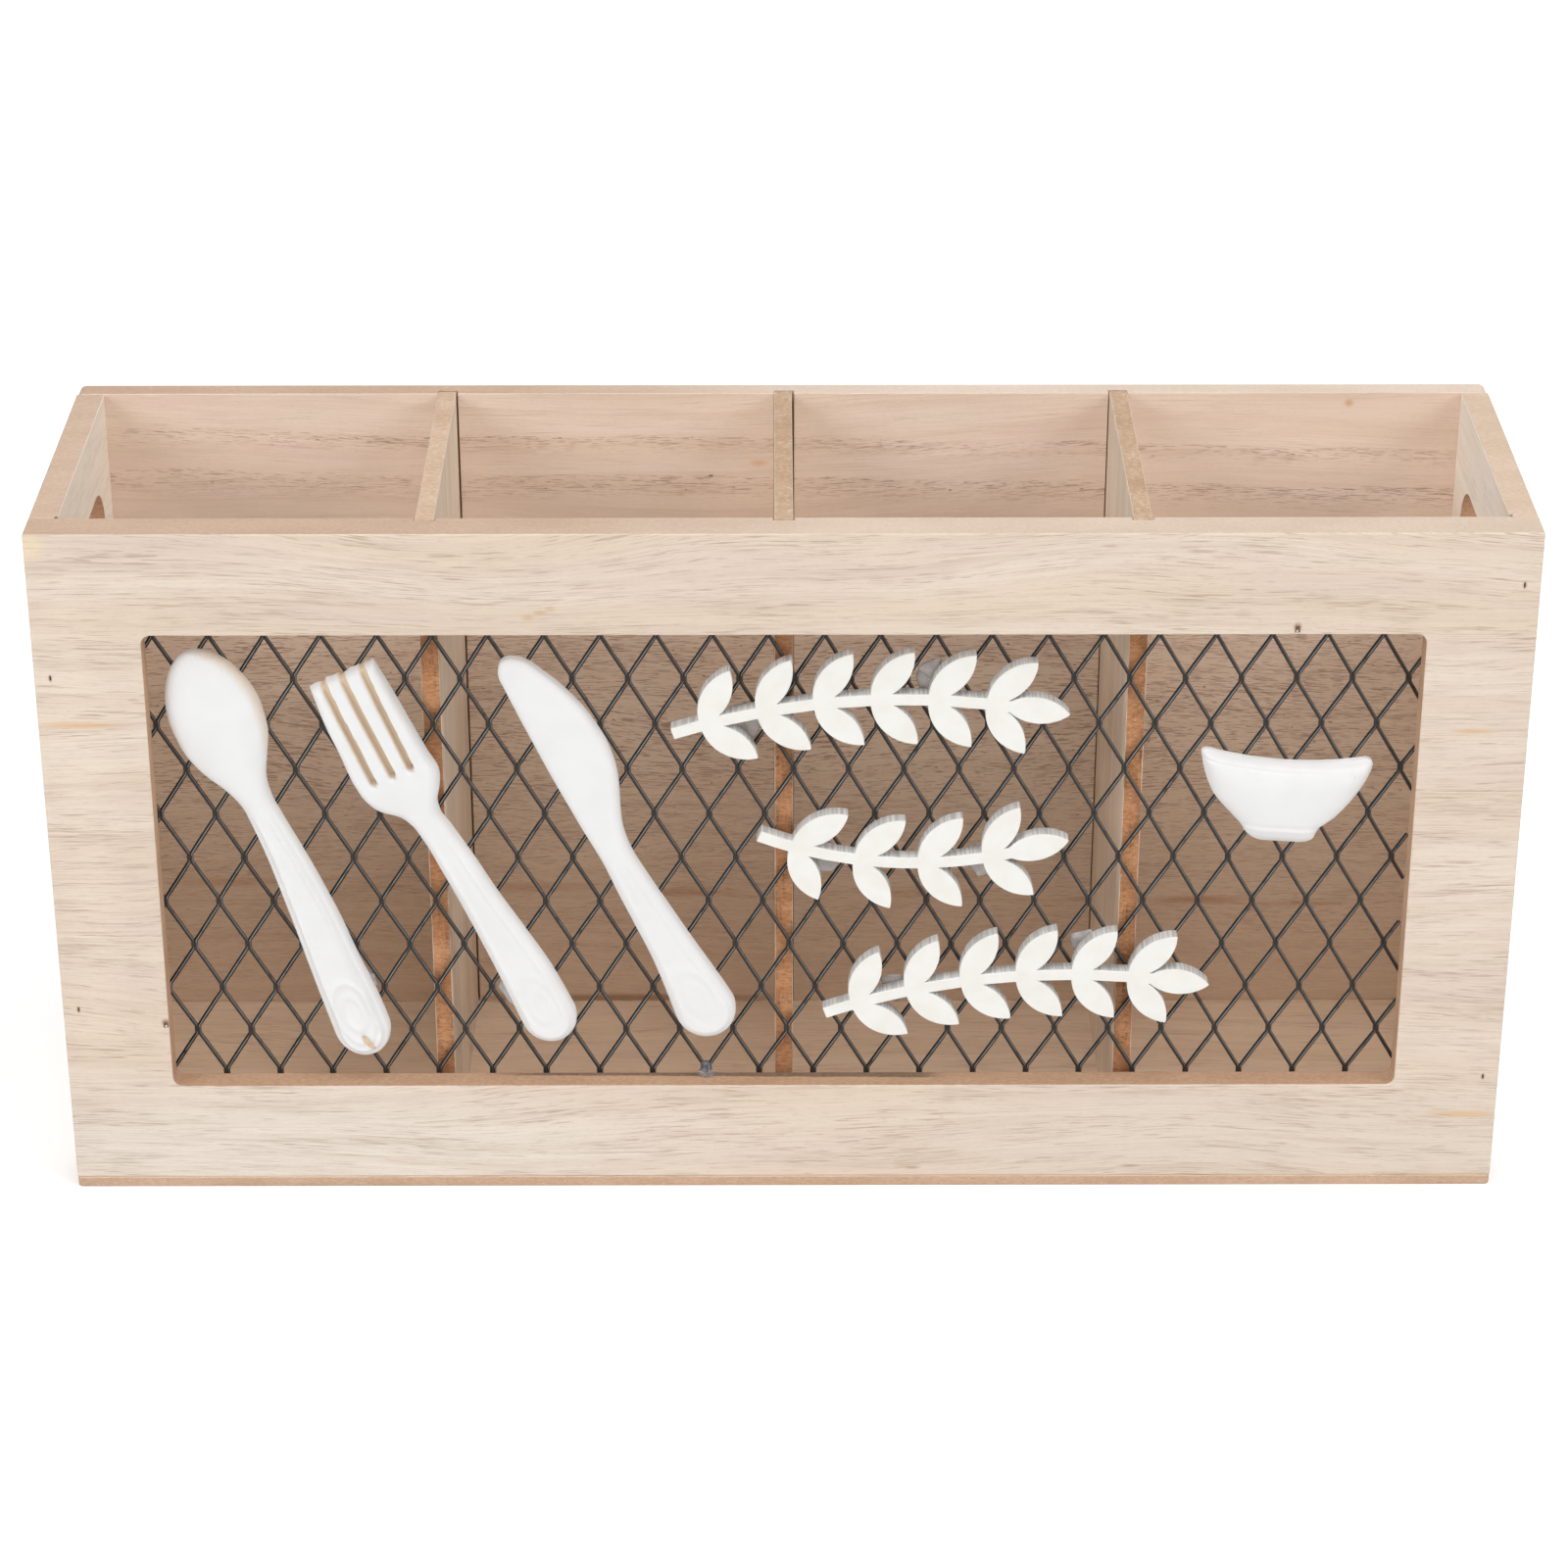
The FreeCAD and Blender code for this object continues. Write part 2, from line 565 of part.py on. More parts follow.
def ornament_glue():
    """Dabs that fill a mesh gap behind an ornament and spread a little behind the mesh."""
    places = []
    for across, gaps, stations in ((SPOON_ACROSS, SPOON_GAPS, SPOON_STATIONS),
                                   (FORK_ACROSS, FORK_GAPS, FORK_STATIONS),
                                   (KNIFE_ACROSS, KNIFE_GAPS, KNIFE_STATIONS)):
        places += [behind_relief(across, gaps, stations, share) for share in RELIEF_DABS]
    bowl_middle = window_place(*BOWL_PLACE) + UPWARD * (BOWL_STATIONS[-1][0] / 2)
    places.append((bowl_middle.x, bowl_middle.z))
    for sprig in (UPPER_SPRIG, MIDDLE_SPRIG, LOWER_SPRIG):
        for share in SPRIG_DABS:
            point = stem_point(sprig, share)[0]
            places.append((point.x, point.z))
    dabs = []
    for x, z in sorted({nearest_gap(*place) for place in places}):
        plug = Part.makeCylinder(GLUE_DAB_DIAMETER / 2, MESH_THICK, Vector(x, MESH_FRONT_Y, z), INWARD)
        smear = Part.makeCylinder(GLUE_SMEAR_DIAMETER / 2, GLUE_SMEAR_THICK,
                                  Vector(x, MESH_BACK_Y, z), INWARD)
        dabs.append(plug.fuse(smear).removeSplitter())
    return dabs


def sill_glue():
    """A quarter-round bead in the corner between the sill and the mesh."""
    x = bond(0, GLUE_BEAD_BOND)[0]
    centre = Vector(x, MESH_FRONT_Y, WINDOW_LOW)
    reach = GLUE_BEAD_RADIUS
    corner = block(x - reach, x + reach, MESH_FRONT_Y - reach, MESH_FRONT_Y, WINDOW_LOW, WINDOW_LOW + reach)
    return Part.makeSphere(reach, centre).common(corner)


PIECES = {
    "front_panel": front_panel(),
    "back_panel": back_panel(),
    "left_end_panel": end_panel(-1),
    "right_end_panel": end_panel(1),
    "bottom_panel": bottom_panel(),
    "left_divider": divider(-1),
    "centre_divider": divider(0),
    "right_divider": divider(1),
    "front_brads": Part.makeCompound(front_brads()),
    "back_brads": Part.makeCompound(back_brads()),
    "bottom_brads": Part.makeCompound(bottom_brads()),
    "wire_mesh": wire_mesh(),
    "mesh_staples": Part.makeCompound(mesh_staples()),
    "spoon_relief": spoon(),
    "fork_relief": fork(),
    "knife_relief": knife(),
    "bowl_relief": bowl(),
    "upper_sprig": leaf_sprig(UPPER_SPRIG),
    "middle_sprig": leaf_sprig(MIDDLE_SPRIG),
    "lower_sprig": leaf_sprig(LOWER_SPRIG),
    "ornament_glue": Part.makeCompound(ornament_glue()),
    "sill_glue": sill_glue(),
}

os.makedirs("parts", exist_ok=True)
for name, shape in PIECES.items():
    shape.exportStep("parts/" + name + ".step")
    print(name, len(shape.Solids), "solids", round(shape.Volume, 2), "mm3", shape.isValid())
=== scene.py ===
import math

import bmesh
import bpy
import numpy as np
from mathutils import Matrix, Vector


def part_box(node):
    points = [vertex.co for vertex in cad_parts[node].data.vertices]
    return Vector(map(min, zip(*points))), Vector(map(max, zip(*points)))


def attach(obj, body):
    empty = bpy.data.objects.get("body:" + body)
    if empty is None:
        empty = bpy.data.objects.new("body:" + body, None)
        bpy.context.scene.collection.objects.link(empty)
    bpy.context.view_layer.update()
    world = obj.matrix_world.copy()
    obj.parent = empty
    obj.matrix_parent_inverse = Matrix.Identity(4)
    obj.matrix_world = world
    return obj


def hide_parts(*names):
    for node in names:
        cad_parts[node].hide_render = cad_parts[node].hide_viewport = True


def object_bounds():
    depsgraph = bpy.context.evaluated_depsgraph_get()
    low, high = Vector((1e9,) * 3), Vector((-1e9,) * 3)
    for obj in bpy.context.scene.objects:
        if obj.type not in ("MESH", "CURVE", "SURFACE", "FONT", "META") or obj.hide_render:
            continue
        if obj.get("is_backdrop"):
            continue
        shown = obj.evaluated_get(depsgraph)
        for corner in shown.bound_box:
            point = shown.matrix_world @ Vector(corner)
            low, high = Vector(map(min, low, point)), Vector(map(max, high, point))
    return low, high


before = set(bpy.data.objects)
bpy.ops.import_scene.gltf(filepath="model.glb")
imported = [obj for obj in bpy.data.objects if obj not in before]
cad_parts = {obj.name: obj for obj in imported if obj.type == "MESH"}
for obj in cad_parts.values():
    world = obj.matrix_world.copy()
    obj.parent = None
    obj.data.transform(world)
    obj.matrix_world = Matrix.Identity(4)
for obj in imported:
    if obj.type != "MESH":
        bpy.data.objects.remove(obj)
cad_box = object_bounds()
MM = 0.001

# Front panel: a full-width board of fibreboard with pale veneer on both faces. A window with rounded
# corners is routed through it, a rebate behind the window takes the mesh, and three grooves take the
# dividers. Two staples and four brads have torn small dents in the veneer.


class Socket:
    """A socket of a node tree. Arithmetic on it adds Math nodes."""

    def __init__(self, tree, socket):
        self.tree = tree
        self.socket = socket

    def node(self, kind, settings, sockets, output=0):
        """Any other node: its settings are set first, then the values or links of its sockets."""
        made = self.tree.nodes.new(kind)
        for name, value in settings.items():
            setattr(made, name, value)
        for name, value in sockets.items():
            if isinstance(value, Socket):
                self.tree.links.new(value.socket, made.inputs[name])
            else:
                made.inputs[name].default_value = value
        if not made.outputs:
            return None
        return Socket(self.tree, made.outputs[output])

    def math(self, operation, *others):
        sockets = dict(enumerate((self, *others)))
        return self.node("ShaderNodeMath", {"operation": operation}, sockets)

    def __add__(self, other):
        return self.math("ADD", other)

    def __sub__(self, other):
        return self.math("SUBTRACT", other)

    def __mul__(self, other):
        return self.math("MULTIPLY", other)

    def __truediv__(self, other):
        return self.math("DIVIDE", other)

    def __rsub__(self, other):
        return self.node("ShaderNodeMath", {"operation": "SUBTRACT"}, {0: other, 1: self})

    __radd__ = __add__
    __rmul__ = __mul__

    def ramp(self, start, end):
        """0 at start and 1 at end, with a soft rise between them."""
        sockets = {"Value": self, "From Min": start, "From Max": end}
        return self.node("ShaderNodeMapRange", {"interpolation_type": "SMOOTHSTEP"}, sockets)

    def parts(self):
        """X, Y and Z of a vector."""
        first = self.node("ShaderNodeSeparateXYZ", {}, {0: self})
        return [Socket(self.tree, out) for out in first.socket.node.outputs]

    def noise(self, sizes, seed=0.0, detail=2.0, roughness=0.5):
        """Cloudy values round 0.5, with clouds of these sizes along X, Y and Z."""
        scale = tuple(1 / size for size in sizes)
        sockets = {"Vector": self, "Location": (seed, 1.7 * seed, 2.3 * seed), "Scale": scale}
        placed = self.node("ShaderNodeMapping", {}, sockets)
        sockets = {"Vector": placed, "Scale": 1.0, "Detail": detail, "Roughness": roughness}
        return self.node("ShaderNodeTexNoise", {}, sockets)

    def mixed(self, first, second):
        """A colour that goes from the first to the second as this value goes from 0 to 1."""
        sockets = {0: self, 6: first, 7: second}
        return self.node("ShaderNodeMix", {"data_type": "RGBA"}, sockets, 2)


def paint(red, green, blue):
    """A colour in a screen's 0 to 255, as the linear values that a shader takes."""
    screen = np.array((red, green, blue)) / 255
    linear = np.where(screen <= 0.04045, screen / 12.92, ((screen + 0.055) / 1.055) ** 2.4)
    return (*linear.tolist(), 1.0)


def new_finish(name):
    """A new material and its Object coordinates."""
    material = bpy.data.materials.new(name)
    material.use_nodes = True
    tree = material.node_tree
    tree.nodes.clear()
    place = tree.nodes.new("ShaderNodeTexCoord")
    return material, Socket(tree, place.outputs["Object"])


def lay_finish(at, colour, roughness, height, depth, constants):
    """Ends a material in one shader, with a height of 0 to 1 as relief of this depth."""
    relief = at.node("ShaderNodeBump", {}, {"Distance": depth, "Height": height})
    sockets = {"Base Color": colour, "Roughness": roughness, "Normal": relief, **constants}
    surface = at.node("ShaderNodeBsdfPrincipled", {}, sockets)
    at.node("ShaderNodeOutputMaterial", {}, {"Surface": surface})


def fibreboard(at, pale, dark):
    """Colour and height of a sawn edge of fibreboard: short fibres, clouds, dark and pale specks."""
    fibres = at.noise((1.4 * MM, 0.8 * MM, 0.6 * MM), 1.0, 4.0, 0.65)
    clouds = at.noise((22 * MM, 9 * MM, 9 * MM), 2.0, 3.0)
    specks = at.noise((0.7 * MM, 0.45 * MM, 0.45 * MM), 3.0, 1.0)
    tone = (fibres * 0.6 + clouds * 0.4).ramp(0.34, 0.66).mixed(dark, pale)
    tone = (specks.ramp(0.68, 0.8) * 0.35).mixed(tone, paint(136, 100, 76))
    tone = (specks.ramp(0.32, 0.22) * 0.4).mixed(tone, paint(240, 228, 212))
    return tone, fibres


def stained(tone, along, across, marks):
    """A colour with soft oval marks: each one's middle, its two reaches, its colour and its strength."""
    for mark_along, mark_across, reach_along, reach_across, colour, strength in marks:
        aside = (along - mark_along) / reach_along
        above = (across - mark_across) / reach_across
        away = (aside * aside + above * above).math("SQRT")
        tone = (away.ramp(1.0, 0.15) * strength).mixed(tone, colour)
    return tone


def veneer(grain, shades, seed, boldness, flecking, washes):
    """Colour and height of sliced veneer. Grain holds metres along it, across it and through the board.
    Shades are the ground, a warmer and a rosier ground, and the colours of its lines and pores, whose
    strength is the boldness. Flecking is where short dark flecks crowd a growth band, and washes are marks
    that tint the ground under the lines."""
    ground, warm, rosy, line, pore = shades
    along, across, through = grain.parts()
    sway = grain.noise((170 * MM, 45 * MM, 9 * MM), seed, 1.5) - 0.5
    ripple = grain.noise((30 * MM, 6 * MM, 9 * MM), seed + 3, 2.0) - 0.5
    drawn = across + sway * (26 * MM) + ripple * (1.1 * MM)
    flow = grain.node("ShaderNodeCombineXYZ", {}, {"X": along, "Y": drawn, "Z": through})
    fibres = flow.noise((40 * MM, 0.4 * MM, 9 * MM), seed + 5, 3.0, 0.65)
    lines = flow.noise((17 * MM, 0.28 * MM, 9 * MM), seed + 7, 2.0)
    dashes = flow.noise((8 * MM, 0.28 * MM, 9 * MM), seed + 9, 1.0)
    ticks = flow.noise((1.5 * MM, 0.24 * MM, 9 * MM), seed + 25, 1.0)
    patches = flow.noise((38 * MM, 5 * MM, 9 * MM), seed + 11, 2.0).ramp(0.36, 0.64)
    clouds = flow.noise((240 * MM, 14 * MM, 9 * MM), seed + 13, 2.5)
    blush = flow.noise((80 * MM, 9 * MM, 9 * MM), seed + 15, 2.0)
    rings = (drawn / (6.5 * MM) + clouds * 2.5).math("FRACT")
    late = rings.ramp(0.3, 0.93) * rings.ramp(1.0, 0.95)
    late = late * flow.noise((70 * MM, 4 * MM, 9 * MM), seed + 17, 2.0).ramp(0.35, 0.7)
    threads = (lines + patches * 0.08).ramp(0.54, 0.78)
    pores = (dashes + patches * 0.1).ramp(0.64, 0.8)
    tone = clouds.ramp(0.36, 0.66).mixed(ground, warm)
    tone = (blush.ramp(0.48, 0.68) * 0.6).mixed(tone, rosy)
    tone = stained(tone, along, across, washes)
    tone = (fibres.ramp(0.42, 0.75) * 0.34).mixed(tone, line)
    tone = (ticks.ramp(0.54, 0.76) * 0.3).mixed(tone, line)
    tone = (late * 0.28).mixed(tone, line)
    tone = (threads * boldness * 0.4).mixed(tone, pore)
    tone = (pores * boldness * 0.65).mixed(tone, pore)
    if flecking:
        flecks = flow.noise((3.4 * MM, 0.21 * MM, 9 * MM), seed + 19, 1.0)
        speckled = (flecks + patches * 0.07).ramp(0.56, 0.7) * flecking.math("MINIMUM", 1.0)
        tone = (speckled * 0.6).mixed(tone, pore)
        knots = flow.noise((2.0 * MM, 1.0 * MM, 9 * MM), seed + 21, 0.0).ramp(0.8, 0.86) * flecking
        tone = (knots * 0.6).mixed(tone, pore)
    height = fibres * 0.4 - late * 0.15 - threads * 0.3 - pores * 0.4 + 0.6
    return tone, height


def board_finish(name, axes, faces, shades, seed, edge_tones, boldness, skin, washes=(), marks=(), bands=()):
    """Finish of a board veneered on two faces. Axes are those along the grain, across it and through.
    Edge tones are the pale and dark colours of its sawn edges, worked out from its coordinates, and skin
    is the veneer's thickness. Washes tint the ground, marks are stains and knots over the grain, and bands
    are flecked growth bands."""
    material, at = new_finish(name)
    parts = dict(zip("XYZ", at.parts()))
    along, across, through = (parts[axis] for axis in axes)
    grain = at.node("ShaderNodeCombineXYZ", {}, {"X": along, "Y": across, "Z": through})
    sway = grain.noise((70 * MM, 90 * MM, 90 * MM), seed + 23) - 0.5
    flecking = None
    for height, slope, above, below, strength in bands:
        swayed = across - along * slope + sway * (5 * MM)
        band = swayed.ramp(height + above, height) * swayed.ramp(height - below, height) * strength
        flecking = band + flecking if flecking else band
    tone, height = veneer(grain, shades, seed, boldness, flecking, washes)
    tone = stained(tone, along, across, marks)
    edge_tone, edge_height = fibreboard(at, *edge_tones(*parts.values()))
    inside = (through - faces[0]).math("MINIMUM", faces[1] - through)
    ragged = at.noise((2.2 * MM, 2.2 * MM, 2.2 * MM), seed + 29, 3.0, 0.6) - 0.5
    face = (inside + ragged * skin).ramp(1.2 * skin, 0.9 * skin)
    colour = face.mixed(edge_tone, tone)
    relief = face * height + (1 - face) * edge_height
    rough = 0.86 - face * 0.24 + height * 0.1
    lay_finish(at, colour, rough, relief, 0.09 * MM, {"Specular IOR Level": 0.35})
    return material


def prism(outline, sweep):
    """A closed mesh: a flat outline swept along a vector."""
    shape = bmesh.new()
    near = [shape.verts.new(point) for point in outline]
    far = [shape.verts.new(Vector(point) + Vector(sweep)) for point in outline]
    shape.faces.new(near)
    shape.faces.new(far)
    for index in range(len(near)):
        shape.faces.new((near[index - 1], near[index], far[index], far[index - 1]))
    bmesh.ops.remove_doubles(shape, verts=shape.verts, dist=0.001 * MM)
    bmesh.ops.recalc_face_normals(shape, faces=shape.faces)
    mesh = bpy.data.meshes.new("prism")
    shape.to_mesh(mesh)
    shape.free()
    return mesh


def block(low, high):
    """A closed box between two corners."""
    outline = [(low[0], low[1], low[2]), (high[0], low[1], low[2]),
               (high[0], high[1], low[2]), (low[0], high[1], low[2])]
    return prism(outline, (0, 0, high[2] - low[2]))


def rounded(low, high, radius, steps=8):
    """Points round a rectangle with rounded corners, in the plane of its two sides."""
    middles = ((high[0] - radius, high[1] - radius), (low[0] + radius, high[1] - radius),
               (low[0] + radius, low[1] + radius), (high[0] - radius, low[1] + radius))
    points = []
    for corner, (across, up) in enumerate(middles):
        for step in range(steps + 1):
            turn = math.radians(90) * (corner + step / steps)
            points.append((across + radius * math.cos(turn), up + radius * math.sin(turn)))
    return points


def new_piece(name, mesh):
    piece = bpy.data.objects.new(name, mesh)
    bpy.context.scene.collection.objects.link(piece)
    return piece


def settle(piece):
    """Makes what a piece's modifiers show its own plain mesh."""
    graph = bpy.context.evaluated_depsgraph_get()
    mesh = bpy.data.meshes.new_from_object(piece.evaluated_get(graph), depsgraph=graph)
    piece.modifiers.clear()
    piece.data = mesh


def cut(piece, meshes):
    """Cuts closed meshes out of a piece."""
    tools = [new_piece("cutter", mesh) for mesh in meshes]
    for tool in tools:
        modifier = piece.modifiers.new("cut", "BOOLEAN")
        modifier.operation = "DIFFERENCE"
        modifier.solver = "EXACT"
        modifier.object = tool
    settle(piece)
    for tool in tools:
        bpy.data.objects.remove(tool)


def ease_edges(piece, width, segments=2):
    """Rounds a board's sharp edges by a small width."""
    modifier = piece.modifiers.new("eased", "BEVEL")
    modifier.width = width
    modifier.segments = segments
    modifier.angle_limit = math.radians(40)
    modifier.use_clamp_overlap = False
    settle(piece)


def install(piece, slot, *nodes):
    """Fixes a piece to the holder, in the place of its CAD nodes."""
    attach(piece, "root")
    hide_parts(*nodes)


front_low, front_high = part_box("front_panel")
mesh_low, mesh_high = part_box("wire_mesh")
MESH_OVERLAP = 4 * MM
WINDOW_RADIUS = 2.4 * MM
REBATE_ROOM = 1.0 * MM
window_low = mesh_low + Vector((MESH_OVERLAP, 0, MESH_OVERLAP))
window_high = mesh_high - Vector((MESH_OVERLAP, 0, MESH_OVERLAP))
PAST = Vector((0, 1 * MM, 0))
BOARD_EDGE = 0.35 * MM
DIVIDERS = ("left_divider", "centre_divider", "right_divider")
TIPS = ((122.7 * MM, 155.4 * MM), (-154.6 * MM, 47.0 * MM))
BRAD_X = 176.1 * MM
FRONT_BRADS = ((-BRAD_X, 143.5 * MM), (-BRAD_X, 52 * MM), (BRAD_X, 167.5 * MM), (BRAD_X, 32 * MM))

front = new_piece("front_board", block(front_low, front_high))
window_outline = rounded((window_low.x, window_low.z), (window_high.x, window_high.z), WINDOW_RADIUS)
window = prism([(x, front_low.y - PAST.y, z) for x, z in window_outline], (0, 12 * MM, 0))
rebate_outline = rounded((mesh_low.x - REBATE_ROOM, mesh_low.z - REBATE_ROOM),
                         (mesh_high.x + REBATE_ROOM, mesh_high.z + REBATE_ROOM), 3 * MM)
rebate = prism([(x, mesh_low.y, z) for x, z in rebate_outline], (0, 5 * MM, 0))
grooves = []
GROOVE_ROOM = 0.3 * MM
for name in DIVIDERS:
    low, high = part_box(name)
    room = Vector((GROOVE_ROOM, 0.15 * MM, 0))
    grooves.append(block(low - room, (high.x + room.x, front_high.y + PAST.y, front_high.z + PAST.y)))
cut(front, [window, rebate] + grooves)
ease_edges(front, BOARD_EDGE)
dents = []
SLIT = Vector((0.21 * MM, 0.9 * MM, 0.68 * MM))
for x, z in FRONT_BRADS:
    middle = Vector((x, front_low.y, z))
    dents.append(block(middle - SLIT, middle + SLIT))
for x, z in TIPS:
    half = Vector((0.6 * MM, 0, 0.9 * MM))
    middle = Vector((x, front_low.y, z + 0.6 * MM))
    dents.append(block(middle - half - PAST, middle + half + Vector((0, 0.8 * MM, 0))))
cut(front, dents)



def long_edges(x, y, z):
    """Edges of the front and back: tan at the left, with painted light that makes the top edges paler towards the
    right, browner in the window, and darker in a band along the back of the sill.
    """
    # Painted light: a sheen from the right is painted on the top edges, paler towards the right and paler still on the
    # back board.
    right = x.ramp(-80 * MM, 30 * MM)
    top = z.ramp(front_high.z - 4 * MM, front_high.z - 2 * MM)
    rear = y.ramp(30 * MM, 40 * MM)
    painted_sheen_pale = rear.mixed(paint(220, 200, 182), paint(228, 210, 194))
    painted_sheen_dark = rear.mixed(paint(207, 186, 167), paint(216, 197, 180))
    pale = top.mixed(paint(200, 165, 136), right.mixed(paint(204, 177, 155), painted_sheen_pale))
    dark = top.mixed(paint(182, 145, 116), right.mixed(paint(190, 161, 138), painted_sheen_dark))
    # A darker band along part of the back edge of the sill, at the foot of the mesh.
    spot = x.node("ShaderNodeCombineXYZ", {}, {"X": x, "Y": y, "Z": z})
    creep = spot.noise((6 * MM, 1 * MM, 9 * MM), 7.0, 4.0, 0.65) - 0.5
    sill_band = y + x * 0.012 + creep * (1.2 * MM)
    sill_band = sill_band.ramp(mesh_low.y - 2.6 * MM, mesh_low.y - 2.0 * MM)
    sill_band = sill_band * z.ramp(window_low.z + 1 * MM, window_low.z + 0.5 * MM)
    sill_band = sill_band * x.ramp(-78 * MM, -58 * MM) * x.ramp(42 * MM, 34 * MM) * 0.85
    return sill_band.mixed(pale, paint(128, 104, 88)), sill_band.mixed(dark, paint(98, 76, 62))


FRONT_SHADES = (paint(237, 222, 205), paint(231, 212, 193), paint(228, 208, 194), paint(208, 186, 168),
                paint(164, 132, 110))
ORANGE = paint(226, 178, 122)
SANDY = paint(212, 172, 126)
RUSSET = paint(162, 116, 88)
front_marks = [
    (-61 * MM, 159.4 * MM, 2.2 * MM, 1.3 * MM, SANDY, 0.55),
    (-58.3 * MM, 160.6 * MM, 2.4 * MM, 1.0 * MM, SANDY, 0.6),
    (-55.8 * MM, 161.6 * MM, 2.0 * MM, 1.1 * MM, SANDY, 0.5),
    (32.6 * MM, 5.4 * MM, 3.0 * MM, 0.7 * MM, RUSSET, 0.5),
    (88 * MM, 5.9 * MM, 4.0 * MM, 0.6 * MM, RUSSET, 0.5),
    (-170 * MM, 131 * MM, 16 * MM, 1.2 * MM, ORANGE, 0.6),
    (167 * MM, 128.8 * MM, 8 * MM, 0.9 * MM, ORANGE, 0.6),
    (172 * MM, 21 * MM, 14 * MM, 1.2 * MM, ORANGE, 0.6),
    (-179 * MM, 178 * MM, 6 * MM, 5 * MM, paint(247, 226, 186), 0.55),
]
front_washes = [
    (-120 * MM, 12 * MM, 150 * MM, 26 * MM, paint(238, 229, 218), 0.85),
    (120 * MM, 12 * MM, 150 * MM, 26 * MM, paint(229, 216, 200), 0.85),
    (-172 * MM, 100 * MM, 14 * MM, 90 * MM, paint(242, 226, 208), 0.6),
]
for x, z in FRONT_BRADS:
    front_marks.append((x, z, 0.8 * MM, 1.4 * MM, paint(140, 106, 82), 0.55))
for x, z in TIPS:
    front_marks.append((x, z + 1.2 * MM, 1.5 * MM, 1.7 * MM, paint(150, 108, 78), 0.75))
front.data.materials.append(board_finish("front_veneer", "XZY", (front_low.y, front_high.y),
                                         FRONT_SHADES, 4.0, long_edges, 0.75, 0.25 * MM,
                                         front_washes, front_marks))
install(front, "pale_veneer", "front_panel")


# Wire mesh: dark painted steel sheet, slit and drawn out into diamonds, stapled into the rebate. Each
# strand zigzags between its neighbours and is joined to them at short upright bonds. The side edges are
# snipped through the strands, which leaves free stubs.


def new_tree(name, inputs):
    """A Geometry Nodes tree, with its named inputs as sockets."""
    tree = bpy.data.node_groups.new(name, "GeometryNodeTree")
    tree.interface.new_socket("Geometry", in_out="OUTPUT", socket_type="NodeSocketGeometry")
    for label, kind in inputs.items():
        tree.interface.new_socket(label, in_out="INPUT", socket_type="NodeSocket" + kind)
    entry = tree.nodes.new("NodeGroupInput")
    return tree, {label: Socket(tree, entry.outputs[label]) for label in inputs}


def end_tree(shape, finish):
    """Ends a tree: its instances become real, and everything takes the finish."""
    real = shape.node("GeometryNodeRealizeInstances", {}, {"Geometry": shape})
    done = real.node("GeometryNodeSetMaterial", {}, {"Geometry": real, "Material": finish})
    done.node("NodeGroupOutput", {}, {"Geometry": done})


def grow(piece, tree, values):
    """Runs a tree on a piece and keeps the result as its plain mesh."""
    modifier = piece.modifiers.new(tree.name, "NODES")
    modifier.node_group = tree
    for item in tree.interface.items_tree:
        if item.in_out == "INPUT" and item.name in values:
            modifier[item.identifier] = values[item.name]
    settle(piece)


mesh_tree, given = new_tree("drawn_mesh", {
    "Rows": "Int", "Columns": "Int", "Pitch Across": "Float", "Pitch Up": "Float", "Lean": "Float",
    "Bond Length": "Float", "Strand Radius": "Float", "Strand Spread": "Float", "Waver": "Float",
    "Strand Form": "Vector", "Strand Twist": "Float",
    "First Bond": "Vector", "Low Corner": "Vector", "High Corner": "Vector", "Finish": "Material"})
start = given["Rows"]
index = start.node("GeometryNodeInputIndex", {}, {})
row = (index / 2).math("FLOOR")
odd = row.math("MODULO", 2)
upper = index.math("MODULO", 2)
columns = start.node("GeometryNodeMeshLine", {}, {
    "Count": given["Columns"], "Start Location": given["First Bond"],
    "Offset": start.node("ShaderNodeCombineXYZ", {}, {"X": given["Pitch Across"]})})
wires = []
for side in (1, -1):
    line = start.node("GeometryNodeMeshLine", {}, {"Count": given["Rows"] * 2})
    reach = odd * given["Pitch Across"] / 2 + (1 - odd * 2) * given["Strand Spread"]
    across = reach * side + row * given["Lean"]
    up = row * given["Pitch Up"] / 2 + (upper - 0.5) * given["Bond Length"]
    place = start.node("ShaderNodeCombineXYZ", {}, {"X": across, "Z": up})
    wire = start.node("GeometryNodeSetPosition", {}, {"Geometry": line, "Position": place})
    wires.append(start.node("GeometryNodeInstanceOnPoints", {}, {"Points": columns, "Instance": wire}))
both = start.node("GeometryNodeJoinGeometry", {}, {"Geometry": wires[0]})
both.tree.links.new(wires[1].socket, both.socket.node.inputs["Geometry"])
both = both.node("GeometryNodeRealizeInstances", {}, {"Geometry": both})
both = both.node("GeometryNodeSubdivideMesh", {}, {"Mesh": both, "Level": 2})
position = start.node("GeometryNodeInputPosition", {}, {})
wander = start.node("ShaderNodeTexNoise", {}, {"Vector": position, "Scale": 30.0, "Detail": 2.0}, "Color")
wander = wander.node("ShaderNodeVectorMath", {"operation": "SUBTRACT"}, {0: wander, 1: (0.5, 0.5, 0.5)})
sideways = wander.node("ShaderNodeVectorMath", {"operation": "MULTIPLY"}, {0: wander, 1: (1.0, 0.0, 1.0)})
sideways = sideways.node("ShaderNodeVectorMath", {"operation": "SCALE"},
                         {0: sideways, "Scale": given["Waver"]})
both = both.node("GeometryNodeSetPosition", {}, {"Geometry": both, "Offset": sideways})
x, y, z = position.parts()
low_x, low_y, low_z = given["Low Corner"].parts()
high_x, high_y, high_z = given["High Corner"].parts()
